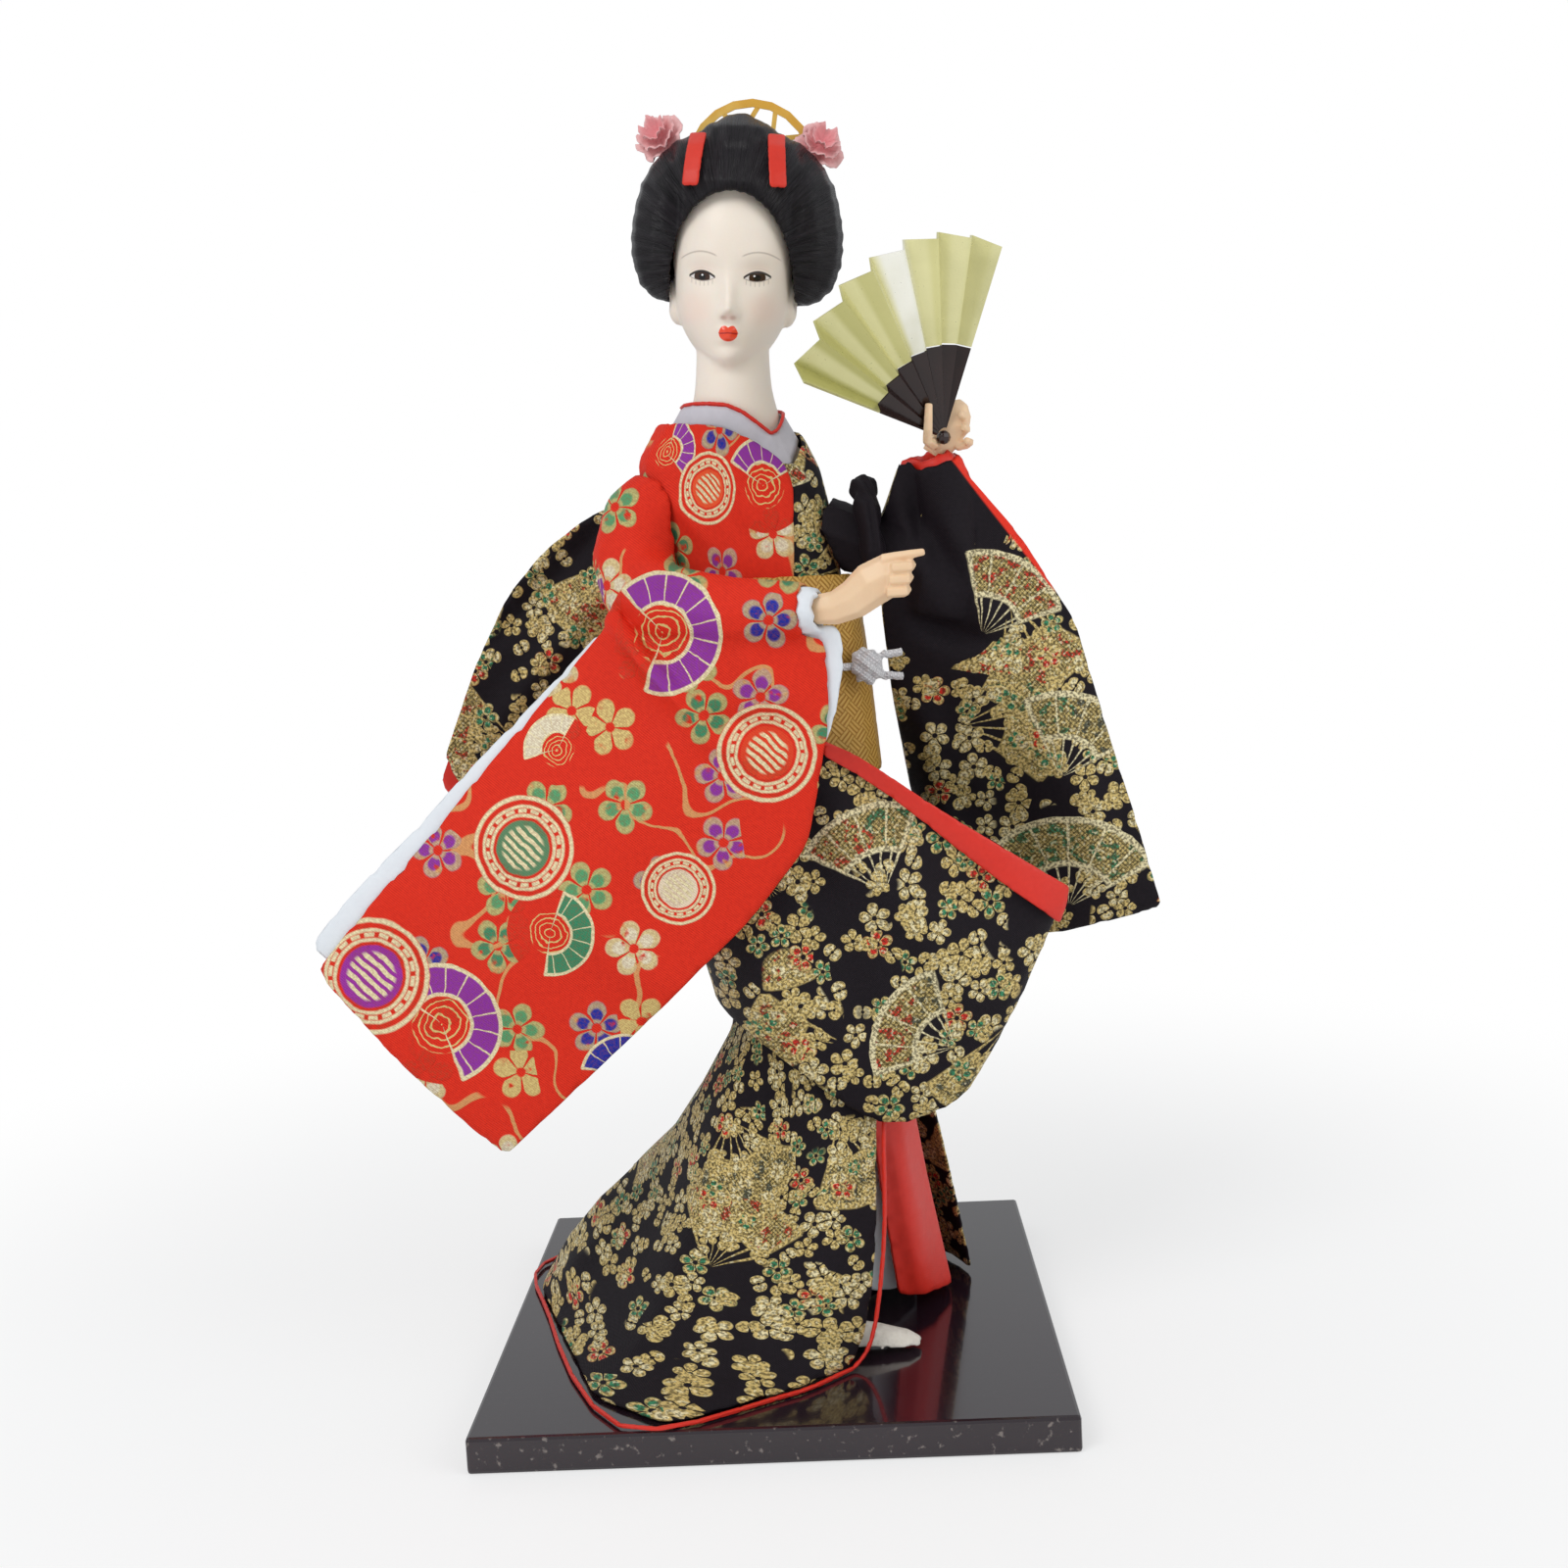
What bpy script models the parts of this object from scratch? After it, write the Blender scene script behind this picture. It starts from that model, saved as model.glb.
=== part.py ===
"""A geisha doll in brocade kimono, standing on a lacquered board.

Metres, +Z up. The origin is the centre of the board's underside, the doll faces -Y, and +X is on the
viewer's right. Places on the figure are heights above the board's top face.
"""
import math

import bmesh
import bpy
import numpy as np
from mathutils import Matrix, Vector

# Board and the rod that carries the figure
BOARD_SIDE = 0.132
BOARD_THICK = 0.0082
BOARD_EDGE_ROUND = 0.0008
ROD_RADIUS = 0.0020
ROD_IN_BOARD = 0.0050
ROD_IN_CORE = 0.0300
ROD_X = 0.0120
ROD_Y = 0.0010

# Cloth and clearances
GAP = 0.0003
CLOTH = 0.0009
OBI_WALL = 0.0014
PIPING_RADIUS = 0.00055

# Head, hair and neck
HEAD_X = 0.0018
HEAD_Y = 0.0020
HEAD_Z = 0.2490
HEAD_NOD = math.radians(8)
HEAD_LEAN = math.radians(4.5)
NECK_DEPTH = 0.0080
NOSE_OUT = 0.0034
EAR_HALF_HEIGHT = 0.0052
RIBBON_WIDTH = 0.0038
RIBBON_THICK = 0.0006
FLOWER_RADIUS = 0.0062
FLOWER_PETALS = 5
COMB_RADIUS = 0.0155
COMB_RIM = 0.0018
COMB_THICK = 0.0010
COMB_SPOKES = 7

# Sash and its cord
OBI_BOTTOM = 0.1330
OBI_TOP = 0.1800
SASH_SIDES = 22
CORD_RADIUS = 0.0011
CORD_HEIGHT = 0.1585
KNOT_RADIUS = 0.0040
KNOT_END_LENGTH = 0.0085
BOW_WIDTH = 0.0360
BOW_HEIGHT = 0.0300
BOW_DEPTH = 0.0110

# Arms, hands and feet
ARM_RADIUS = 0.0034
FINGER_RADIUS = 0.0012
FOOT_LENGTH = 0.0300
FOOT_WIDTH = 0.0095
FOOT_HEIGHT = 0.0085
SHIN_RADIUS = 0.0042
RIGHT_KNUCKLE = (0.0180, -0.0052, 0.0072)

# Fan
FAN_RADIUS = 0.0435
FAN_STICK_RADIUS = 0.0205
FAN_PLEATS = 7
FAN_SPREAD = math.radians(89)
FAN_START = math.radians(72)
FAN_TURN = math.radians(39)
FAN_THICK = 0.0005
FAN_FOLD = 0.045
FAN_PIVOT_RADIUS = 0.0016
FAN_PIVOT = (0.0485, -0.0157, 0.2095)
FAN_WIDE_SHARE = 0.64
FAN_SCALLOP = 0.0010

# Trunk: height, middle x, middle y, half width, half depth
TRUNK = (
    (0.060, 0.0130, -0.0010, 0.0100, 0.0090),
    (0.080, 0.0140, -0.0010, 0.0135, 0.0115),
    (0.100, 0.0130, -0.0010, 0.0165, 0.0132),
    (0.120, 0.0110, -0.0010, 0.0170, 0.0132),
    (0.140, 0.0100, -0.0010, 0.0162, 0.0122),
    (0.160, 0.0090, -0.0010, 0.0158, 0.0118),
    (0.175, 0.0065, -0.0010, 0.0168, 0.0122),
    (0.190, 0.0025, -0.0010, 0.0192, 0.0122),
    (0.200, 0.0000, -0.0010, 0.0205, 0.0118),
    (0.207, -0.0012, -0.0008, 0.0190, 0.0108),
    (0.213, -0.0015, -0.0005, 0.0150, 0.0095),
)
TRUNK_TOP = 0.2125
CHEST_TOP = 0.07

# Neck: height, middle x, middle y, half width, half depth
NECK = (
    (0.2040, -0.0005, 0.0000, 0.0090, 0.0065),
    (0.2125, 0.0000, 0.0000, 0.0118, 0.0082),
    (0.2180, 0.0004, -0.0002, 0.0108, 0.0090),
    (0.2230, 0.0006, -0.0004, 0.0094, 0.0088),
    (0.2290, 0.0008, 0.0000, 0.0088, 0.0087),
    (0.2400, 0.0012, 0.0010, 0.0088, 0.0088),
)

# Head, from the eye line: height, half width, depth forwards, depth backwards
FACE = (
    (-0.0225, 0.0014, 0.0105, -0.0030),
    (-0.0214, 0.0046, 0.0138, 0.0010),
    (-0.0185, 0.0082, 0.0160, 0.0050),
    (-0.0140, 0.0112, 0.0167, 0.0100),
    (-0.0090, 0.0131, 0.0166, 0.0130),
    (-0.0030, 0.0140, 0.0160, 0.0150),
    (0.0040, 0.0143, 0.0163, 0.0160),
    (0.0110, 0.0140, 0.0162, 0.0160),
    (0.0180, 0.0124, 0.0138, 0.0145),
    (0.0230, 0.0094, 0.0100, 0.0110),
    (0.0262, 0.0045, 0.0045, 0.0050),
)

# Dressed hair, from the eye line: height, half width, depth forwards, depth backwards
HAIR = (
    (-0.0052, 0.0135, 0.0020, 0.0150),
    (-0.0042, 0.0190, 0.0050, 0.0205),
    (-0.0010, 0.0228, 0.0080, 0.0235),
    (0.0050, 0.0248, 0.0110, 0.0250),
    (0.0110, 0.0250, 0.0140, 0.0255),
    (0.0170, 0.0240, 0.0162, 0.0250),
    (0.0220, 0.0225, 0.0165, 0.0235),
    (0.0270, 0.0195, 0.0135, 0.0205),
    (0.0310, 0.0152, 0.0095, 0.0160),
    (0.0335, 0.0095, 0.0050, 0.0100),
)
HAIRLINE_TOP = 0.0200
HAIRLINE_HALF = 0.0140
HAIR_SHIFT = 0.0008
HAIR_SIDES = 18
DOME_TOP = 0.0372

# Upper edge of the silk collar and neck edge of the kimono, from the nape round by the viewer's left
SILK_TOP = (
    (0.0000, 0.0100, 0.2195), (-0.0085, 0.0075, 0.2198), (-0.0118, 0.0000, 0.2198), (-0.0103, -0.0055, 0.2200),
    (-0.0065, -0.0086, 0.2198), (-0.0005, -0.0100, 0.2190), (0.0045, -0.0098, 0.2162), (0.0090, -0.0086, 0.2122),
    (0.0110, -0.0062, 0.2135), (0.0120, -0.0025, 0.2162), (0.0118, 0.0020, 0.2178), (0.0075, 0.0080, 0.2190),
)
KIMONO_NECK = (
    (-0.0005, 0.0105, 0.2165), (-0.0100, 0.0078, 0.2170), (-0.0150, 0.0000, 0.2168), (-0.0128, -0.0060, 0.2166),
    (-0.0080, -0.0092, 0.2160), (-0.0020, -0.0106, 0.2150), (0.0035, -0.0108, 0.2120), (0.0080, -0.0104, 0.2085),
    (0.0125, -0.0094, 0.2045), (0.0150, -0.0050, 0.2095), (0.0155, 0.0010, 0.2130), (0.0095, 0.0080, 0.2155),
)
SILK_TUCK = 0.0016
BODICE_LOW = 0.1500
# Angle of each half's front edge, from the neck down to the sash
RED_EDGE = (math.radians(-46), math.radians(-63), math.radians(-81), math.radians(-100), math.radians(-112))
BLACK_EDGE = math.radians(-150)
SEAM_LAP = 0.01

# Over-skirt drawn out to one corner: five rings of eight points, corner first, then round by the front
OVERSKIRT = (
    ((0.0735, -0.0130, 0.1045), (0.0455, -0.0220, 0.1240), (0.0175, -0.0255, 0.1430), (-0.0040, -0.0225, 0.1410),
     (-0.0128, -0.0030, 0.1390), (-0.0055, 0.0150, 0.1380), (0.0130, 0.0200, 0.1370), (0.0380, 0.0120, 0.1260)),
    ((0.0722, -0.0135, 0.0990), (0.0465, -0.0235, 0.1080), (0.0180, -0.0270, 0.1180), (-0.0070, -0.0240, 0.1170),
     (-0.0175, -0.0030, 0.1160), (-0.0080, 0.0175, 0.1150), (0.0130, 0.0215, 0.1140), (0.0400, 0.0120, 0.1060)),
    ((0.0685, -0.0140, 0.0920), (0.0460, -0.0250, 0.0900), (0.0180, -0.0280, 0.0950), (-0.0070, -0.0240, 0.0960),
     (-0.0160, -0.0040, 0.0970), (-0.0075, 0.0170, 0.0960), (0.0130, 0.0210, 0.0940), (0.0400, 0.0110, 0.0900)),
    ((0.0605, -0.0155, 0.0765), (0.0430, -0.0255, 0.0730), (0.0200, -0.0290, 0.0760), (-0.0020, -0.0255, 0.0840),
     (-0.0130, -0.0050, 0.0870), (-0.0065, 0.0170, 0.0860), (0.0130, 0.0215, 0.0850), (0.0385, 0.0115, 0.0800)),
    ((0.0500, -0.0170, 0.0605), (0.0375, -0.0240, 0.0530), (0.0250, -0.0275, 0.0540), (0.0050, -0.0270, 0.0690),
     (-0.0112, -0.0070, 0.0790), (-0.0058, 0.0165, 0.0790), (0.0130, 0.0212, 0.0760), (0.0370, 0.0115, 0.0690)),
)
# Share of the over-skirt's depth that the red band covers at the corner, midway and at the waist
BAND_AT_CORNER = 0.40
BAND_MIDWAY = 0.11
BAND_AT_WAIST = 0.035
BAND_THICK = 0.0007

# Skirt and train: seven open rings of nine points, from the piped front edge round by the back
SKIRT = (
    ((0.0270, -0.0135, 0.1310), (0.0130, -0.0175, 0.1310), (0.0000, -0.0140, 0.1310), (-0.0085, -0.0010, 0.1310),
     (-0.0030, 0.0115, 0.1310), (0.0080, 0.0152, 0.1310), (0.0190, 0.0145, 0.1310), (0.0270, 0.0095, 0.1310),
     (0.0305, 0.0020, 0.1310)),
    ((0.0290, -0.0150, 0.1040), (0.0140, -0.0190, 0.1040), (0.0000, -0.0150, 0.1040), (-0.0068, -0.0010, 0.1040),
     (-0.0025, 0.0125, 0.1040), (0.0080, 0.0166, 0.1040), (0.0200, 0.0166, 0.1040), (0.0290, 0.0112, 0.1040),
     (0.0325, 0.0030, 0.1040)),
    ((0.0275, -0.0185, 0.0720), (0.0140, -0.0210, 0.0720), (0.0000, -0.0170, 0.0720), (-0.0080, -0.0020, 0.0720),
     (-0.0030, 0.0130, 0.0720), (0.0080, 0.0172, 0.0720), (0.0200, 0.0172, 0.0720), (0.0295, 0.0120, 0.0720),
     (0.0330, 0.0055, 0.0720)),
    ((0.0258, -0.0235, 0.0500), (0.0110, -0.0260, 0.0500), (-0.0080, -0.0215, 0.0500), (-0.0215, -0.0040, 0.0500),
     (-0.0170, 0.0140, 0.0500), (-0.0010, 0.0250, 0.0500), (0.0190, 0.0260, 0.0500), (0.0340, 0.0200, 0.0500),
     (0.0405, 0.0110, 0.0500)),
    ((0.0248, -0.0300, 0.0280), (0.0075, -0.0335, 0.0290), (-0.0130, -0.0280, 0.0300), (-0.0265, -0.0070, 0.0300),
     (-0.0385, 0.0225, 0.0285), (-0.0120, 0.0330, 0.0270), (0.0180, 0.0340, 0.0260), (0.0370, 0.0250, 0.0250),
     (0.0455, 0.0135, 0.0240)),
    ((0.0215, -0.0370, 0.0080), (0.0040, -0.0440, 0.0090), (-0.0230, -0.0440, 0.0090), (-0.0420, -0.0130, 0.0100),
     (-0.0520, 0.0190, 0.0175), (-0.0200, 0.0420, 0.0100), (0.0180, 0.0400, 0.0080), (0.0390, 0.0290, 0.0070),
     (0.0485, 0.0130, 0.0070)),
    ((0.0178, -0.0405, 0.0012), (0.0020, -0.0520, 0.0012), (-0.0320, -0.0625, 0.0012), (-0.0560, -0.0050, 0.0012),
     (-0.0620, 0.0300, 0.0012), (-0.0230, 0.0470, 0.0012), (0.0190, 0.0430, 0.0012), (0.0410, 0.0310, 0.0012),
     (0.0500, 0.0130, 0.0012)),
)

# Under-skirts: open rings from the front edge round by the back, widest at the board
UNDERSKIRT_TOP = 0.0850
UNDERSKIRT_LIFT = 0.0050
RED_UNDER = ((0.0139, -0.0010, 0.0178, 0.0153), (0.0130, 0.0010, 0.0235, 0.0180), (0.0140, 0.0040, 0.0300, 0.0190))
WHITE_UNDER = ((0.0139, -0.0010, 0.0162, 0.0137), (0.0120, 0.0010, 0.0205, 0.0150), (0.0110, 0.0040, 0.0240, 0.0150))

# Red sleeve: arm path with its radii, and the hanging bag as rows of three points, open edge first
RED_ARM = ((-0.0090, -0.0010, 0.2000), (-0.0200, -0.0040, 0.1965), (-0.0240, -0.0105, 0.1810),
           (-0.0120, -0.0265, 0.1740), (0.0165, -0.0375, 0.1725))
RED_ARM_RADII = (0.0100, 0.0112, 0.0102, 0.0090, 0.0062)
RED_BAG = (
    ((-0.0290, -0.0210, 0.1720), (-0.0060, -0.0310, 0.1740), (0.0170, -0.0375, 0.1745)),
    ((-0.0440, -0.0235, 0.1560), (-0.0110, -0.0330, 0.1510), (0.0205, -0.0362, 0.1560)),
    ((-0.0590, -0.0255, 0.1405), (-0.0180, -0.0335, 0.1350), (0.0172, -0.0345, 0.1370)),
    ((-0.0730, -0.0270, 0.1250), (-0.0320, -0.0335, 0.1180), (0.0115, -0.0335, 0.1170)),
    ((-0.0870, -0.0285, 0.1110), (-0.0540, -0.0330, 0.0960), (-0.0130, -0.0325, 0.0920)),
    ((-0.1005, -0.0300, 0.0960), (-0.0830, -0.0315, 0.0750), (-0.0600, -0.0320, 0.0510)),
)
RED_BAG_HALF = 0.0025
# Shares across a hanging sleeve between which its faces keep the same stations in every layer
SEAM_LOW = 0.035
SEAM_HIGH = 0.92
WRIST_SLIT = 0.40

# Black sleeve of the raised arm
BLACK_ARM = ((0.0100, -0.0010, 0.1960), (0.0270, -0.0020, 0.1860), (0.0430, -0.0040, 0.1780),
             (0.0500, -0.0085, 0.1900), (0.0465, -0.0115, 0.2050))
BLACK_UPPER = ((0.0080, -0.0010, 0.1960), (0.0270, -0.0020, 0.1870), (0.0440, -0.0040, 0.1800))
BLACK_FORE = ((0.0465, -0.0045, 0.1695), (0.0495, -0.0085, 0.1910), (0.0465, -0.0115, 0.2050))
BLACK_BAG = (
    ((0.0385, -0.0105, 0.2050), (0.0460, -0.0118, 0.2045), (0.0530, -0.0115, 0.2020)),
    ((0.0335, -0.0060, 0.1920), (0.0490, -0.0090, 0.1900), (0.0655, -0.0080, 0.1870)),
    ((0.0330, -0.0030, 0.1720), (0.0550, -0.0070, 0.1680), (0.0785, -0.0030, 0.1660)),
    ((0.0350, 0.0060, 0.1500), (0.0580, 0.0000, 0.1440), (0.0848, 0.0000, 0.1430)),
    ((0.0390, 0.0175, 0.1250), (0.0650, 0.0080, 0.1180), (0.0925, 0.0030, 0.1170)),
    ((0.0470, 0.0190, 0.0900), (0.0730, 0.0100, 0.0890), (0.0985, 0.0050, 0.0950)),
)
BLACK_BAG_HALF = 0.0036
# Cloth of the black half gathered over the upper arm, from its knob down
GATHER = ((0.0300, -0.0010, 0.2010), (0.0302, -0.0085, 0.1975), (0.0308, -0.0125, 0.1900), (0.0322, -0.0120, 0.1795))
GATHER_RADII = (0.0018, 0.0034, 0.0025, 0.0033, 0.0026, 0.0030, 0.0016)
# Fold across the red sleeve, below the elbow
RED_FOLD = ((-0.0290, -0.0212, 0.1740), (-0.0200, -0.0305, 0.1620), (-0.0095, -0.0342, 0.1505), (-0.0010, -0.0338, 0.1435))
RED_FOLD_RADII = (0.0030, 0.0026, 0.0019, 0.0008)
BLACK_LINING_SHOWS = 0.0030

# Empty black sleeve behind, from the shoulder to its open end
EMPTY_BAG = (
    ((-0.0120, 0.0090, 0.2075), (-0.0120, 0.0150, 0.1900), (-0.0150, 0.0180, 0.1700)),
    ((-0.0290, 0.0150, 0.2005), (-0.0260, 0.0185, 0.1800), (-0.0230, 0.0195, 0.1600)),
    ((-0.0425, 0.0165, 0.1945), (-0.0370, 0.0205, 0.1730), (-0.0300, 0.0200, 0.1500)),
    ((-0.0560, 0.0185, 0.1830), (-0.0500, 0.0225, 0.1600), (-0.0410, 0.0220, 0.1370)),
    ((-0.0660, 0.0200, 0.1680), (-0.0590, 0.0240, 0.1470), (-0.0500, 0.0230, 0.1260)),
    ((-0.0790, 0.0215, 0.1380), (-0.0710, 0.0240, 0.1240), (-0.0620, 0.0230, 0.1110)),
)
EMPTY_BAG_HALF = 0.0026
EMPTY_LINING_SHOWS = 0.0022

# Pieces whose forms cross in too many places for the exact solver
TANGLED = ("black_gather", "red_sleeve", "red_sleeve_lining", "black_sleeve_left", "black_sleeve_left_lining", "hair_cap",
           "right_foot", "left_foot", "skirt_piping", "right_hand", "left_hand", "head", "comb")

COLOURS = {
    "lacquer": ((0.012, 0.008, 0.010, 1), 0.12, 0.0),
    "steel": ((0.35, 0.35, 0.36, 1), 0.35, 1.0),
    "padding": ((0.80, 0.76, 0.68, 1), 0.9, 0.0),
    "porcelain": ((0.86, 0.76, 0.66, 1), 0.35, 0.0),
    "hair": ((0.012, 0.009, 0.010, 1), 0.4, 0.0),
    "gold": ((0.80, 0.50, 0.12, 1), 0.35, 0.8),
    "ribbon": ((0.62, 0.03, 0.02, 1), 0.5, 0.0),
    "pink": ((0.85, 0.42, 0.42, 1), 0.6, 0.0),
    "silk": ((0.62, 0.60, 0.63, 1), 0.5, 0.0),
    "red_brocade": ((0.70, 0.05, 0.02, 1), 0.6, 0.0),
    "black_brocade": ((0.014, 0.012, 0.014, 1), 0.6, 0.0),
    "white_lining": ((0.80, 0.84, 0.86, 1), 0.5, 0.0),
    "red_lining": ((0.75, 0.03, 0.02, 1), 0.5, 0.0),
    "obi": ((0.48, 0.27, 0.04, 1), 0.6, 0.0),
    "cord": ((0.82, 0.82, 0.84, 1), 0.7, 0.0),
    "black_stick": ((0.03, 0.012, 0.010, 1), 0.25, 0.0),
}


def material(finish):
    """The named finish as a Principled material, made once."""
    found = bpy.data.materials.get(finish)
    if found:
        return found
    colour, roughness, metallic = COLOURS[finish]
    made = bpy.data.materials.new(finish)
    made.use_nodes = True
    shader = made.node_tree.nodes["Principled BSDF"]
    shader.inputs["Base Color"].default_value = colour
    shader.inputs["Roughness"].default_value = roughness
    shader.inputs["Metallic"].default_value = metallic
    return made


def add(name, bm, finish):
    """Turn a bmesh in figure places into an object that stands on the board."""
    bmesh.ops.remove_doubles(bm, verts=bm.verts, dist=0.00001)
    bmesh.ops.recalc_face_normals(bm, faces=bm.faces)
    closed = not any(edge.is_boundary for edge in bm.edges)
    if closed and bm.calc_volume(signed=True) < 0:
        bmesh.ops.reverse_faces(bm, faces=bm.faces)
    mesh = bpy.data.meshes.new(name)
    bm.to_mesh(mesh)
    bm.free()
    mesh.materials.append(material(finish))
    mesh.shade_smooth()
    mesh.set_sharp_from_angle(angle=math.radians(50))
    piece = bpy.data.objects.new(name, mesh)
    piece.location.z = BOARD_THICK
    bpy.context.collection.objects.link(piece)
    return piece


def boolean(piece, other, operation):
    """Join to, or cut from, the piece another closed body, which stays as a guide only."""
    step = piece.modifiers.new(operation.lower(), "BOOLEAN")
    step.operation = operation
    step.solver = "MANIFOLD" if piece.name in TANGLED else "EXACT"
    step.object = other
    other.hide_render = True
    other.display_type = "WIRE"


def unite(piece, *others):
    for other in others:
        boolean(piece, other, "UNION")


def cut(piece, *others):
    for other in others:
        boolean(piece, other, "DIFFERENCE")


def along(points, t, closed=False):
    """The place at t, 0 to 1, on a smooth curve through the points."""
    p = np.asarray(points, float)
    count = len(p)
    spans = count if closed else count - 1
    x = t * spans
    i = math.floor(x) if closed else min(max(math.floor(x), 0), spans - 1)
    f = x - i
    if closed:
        a, b, c, d = (p[(i + k) % count] for k in (-1, 0, 1, 2))
    else:
        b, c = p[i], p[i + 1]
        a = p[i - 1] if i else 2 * b - c
        d = p[i + 2] if i + 2 < count else 2 * c - b
    return b + 0.5 * f * (c - a + f * (2 * a - 5 * b + 4 * c - d + f * (3 * (b - c) + d - a)))


def surface(rows, u, v, closed=False):
    """The place at u across and v down a smooth sheet through rows of points."""
    return along([along(row, u, closed) for row in rows], v)


def stations(table, x):
    """A station table's columns at the height x, on a smooth curve through its rows."""
    rows = np.asarray(table, float)
    keys = rows[:, 0]
    x = min(max(x, keys[0]), keys[-1])
    i = min(int(np.searchsorted(keys, x, side="right")) - 1, len(keys) - 2)
    slopes = np.gradient(rows[:, 1:], keys, axis=0)
    span = keys[i + 1] - keys[i]
    f = (x - keys[i]) / span
    start = rows[i, 1:] * (1 + 2 * f) * (1 - f) ** 2 + slopes[i] * span * f * (1 - f) ** 2
    end = rows[i + 1, 1:] * f * f * (3 - 2 * f) + slopes[i + 1] * span * f * f * (f - 1)
    return start + end


def spread(low, high, count):
    return [low + (high - low) * i / (count - 1) for i in range(count)]


def skin(name, finish, loops, ends="fan", fixed=False):
    """Skin loops of equal count, extruding the first from one to the next.

    The ends are closed to a middle point (fan), closed across a flat loop (strip), joined to each other
    (wrap) or left open (open). Fixed diagonals keep a form and its grown copies the same distance apart.
    """
    bm = bmesh.new()
    count = len(loops[0])
    ring = bmesh.ops.create_circle(bm, cap_ends=False, radius=1.0, segments=count)["verts"]
    rings = []
    for step, loop in enumerate(loops):
        if step:
            edges = [bm.edges.get((ring[i], ring[(i + 1) % count])) for i in range(count)]
            made = bmesh.ops.extrude_edge_only(bm, edges=edges)["geom"]
            fresh = {v for v in made if isinstance(v, bmesh.types.BMVert)}
            ring = [next(e.other_vert(v) for e in v.link_edges if e.other_vert(v) in fresh) for v in ring]
        for vert, place in zip(ring, loop):
            vert.co = Vector(place)
        rings.append(ring)
    if ends == "wrap":
        bmesh.ops.bridge_loops(bm, edges=[e for e in bm.edges if e.is_boundary])
    elif ends == "strip":
        for end in (rings[0], rings[-1]):
            for i in range(count // 2 - 1):
                bm.faces.new((end[i], end[i + 1], end[count - 2 - i], end[count - 1 - i]))
    elif ends == "fan":
        for end in (rings[0], rings[-1]):
            cap = bm.faces.new(end)
            bmesh.ops.poke(bm, faces=[cap])
    if fixed:
        bmesh.ops.triangulate(bm, faces=bm.faces, quad_method="FIXED")
    return add(name, bm, finish)


def thicken(piece, wall, offset=-1.0):
    solid = piece.modifiers.new("wall", "SOLIDIFY")
    solid.thickness = wall
    solid.offset = offset
    solid.use_even_offset = True
    return solid


def tube(name, finish, path, radii, sides, steps, grow=0.0, squash=1.0, more=0.0, closed=False):
    """A round-ended tube on a smooth path; squash narrows it across, more lengthens its last end."""
    points = [Vector(along(path, t, closed)) for t in spread(0.0, 1.0, steps + 1)]
    sizes = [float(along([(r,) for r in radii], t)[0]) + grow for t in spread(0.0, 1.0, steps + 1)]
    if closed:
        points = points[:-1]
        sizes = sizes[:-1]
    if not closed:
        points[0] -= (points[1] - points[0]).normalized() * grow
        points[-1] += (points[-1] - points[-2]).normalized() * (grow + more)
    loops = []
    start = points[1] - points[0]
    side = Vector((0, 1, 0)) if abs(start.normalized().y) < 0.8 else Vector((0, 0, 1))
    for i, (point, size) in enumerate(zip(points, sizes)):
        if closed:
            ahead = (points[(i + 1) % len(points)] - points[i - 1]).normalized()
        else:
            ahead = (points[min(i + 1, len(points) - 1)] - points[max(i - 1, 0)]).normalized()
        side = (side - ahead * side.dot(ahead)).normalized()
        up = ahead.cross(side)
        turn = [2 * math.pi * k / sides for k in range(sides)]
        loops.append([point + side * size * squash * math.cos(a) + up * size * math.sin(a) for a in turn])
    return skin(name, finish, loops, "wrap" if closed else "fan")


def pillow(name, finish, rows, half, across, down, grow=0.0, u_low=None, u_high=None, v=(0.0, 1.0)):
    """A flat hanging bag: two faces on a sheet of points, full in the middle and thin at its sides.

    The sides u_low and u_high are functions of how far down the sheet they are.
    """
    def between(start, count, end):
        return [start] + [k / count for k in range(1, count) if start < k / count < end] + [end]

    loops = []
    for y in between(v[0], down, v[1]):
        low = u_low(y) if u_low else 0.0
        high = u_high(y) if u_high else 1.0
        front, back = [], []
        for x in [low] + between(SEAM_LOW, across, SEAM_HIGH) + [high]:
            middle = surface(rows, x, y)
            depth = half * (0.62 + 0.38 * math.sin(math.pi * min(max(x, 0.0), 1.0))) + grow
            front.append(Vector(middle) - Vector((0, depth, 0)))
            back.append(Vector(middle) + Vector((0, depth, 0)))
        loops.append(front + back[::-1])
    return skin(name, finish, loops, "strip", True)


def ellipse(middle_x, middle_y, half_x, half_y, z, sides, start=0.0, sweep=2 * math.pi):
    """Points round an oval at one height, from the viewer's right by the back."""
    steps = sides if sweep == 2 * math.pi else sides - 1
    turn = [start + sweep * k / steps for k in range(sides)]
    return [Vector((middle_x + half_x * math.cos(a), middle_y + half_y * math.sin(a), z)) for a in turn]


def trunk_place(angle, z, out):
    """The place at an angle round the trunk, out from its padding."""
    x, y, half_x, half_y = stations(TRUNK, z)
    return Vector((x + (half_x + out) * math.cos(angle), y + (half_y + out) * math.sin(angle), z))


def box(name, finish, low, high):
    bm = bmesh.new()
    bmesh.ops.create_cube(bm, size=1.0)
    bmesh.ops.scale(bm, vec=Vector(high) - Vector(low), verts=bm.verts)
    bmesh.ops.translate(bm, vec=(Vector(high) + Vector(low)) / 2, verts=bm.verts)
    return add(name, bm, finish)


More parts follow.
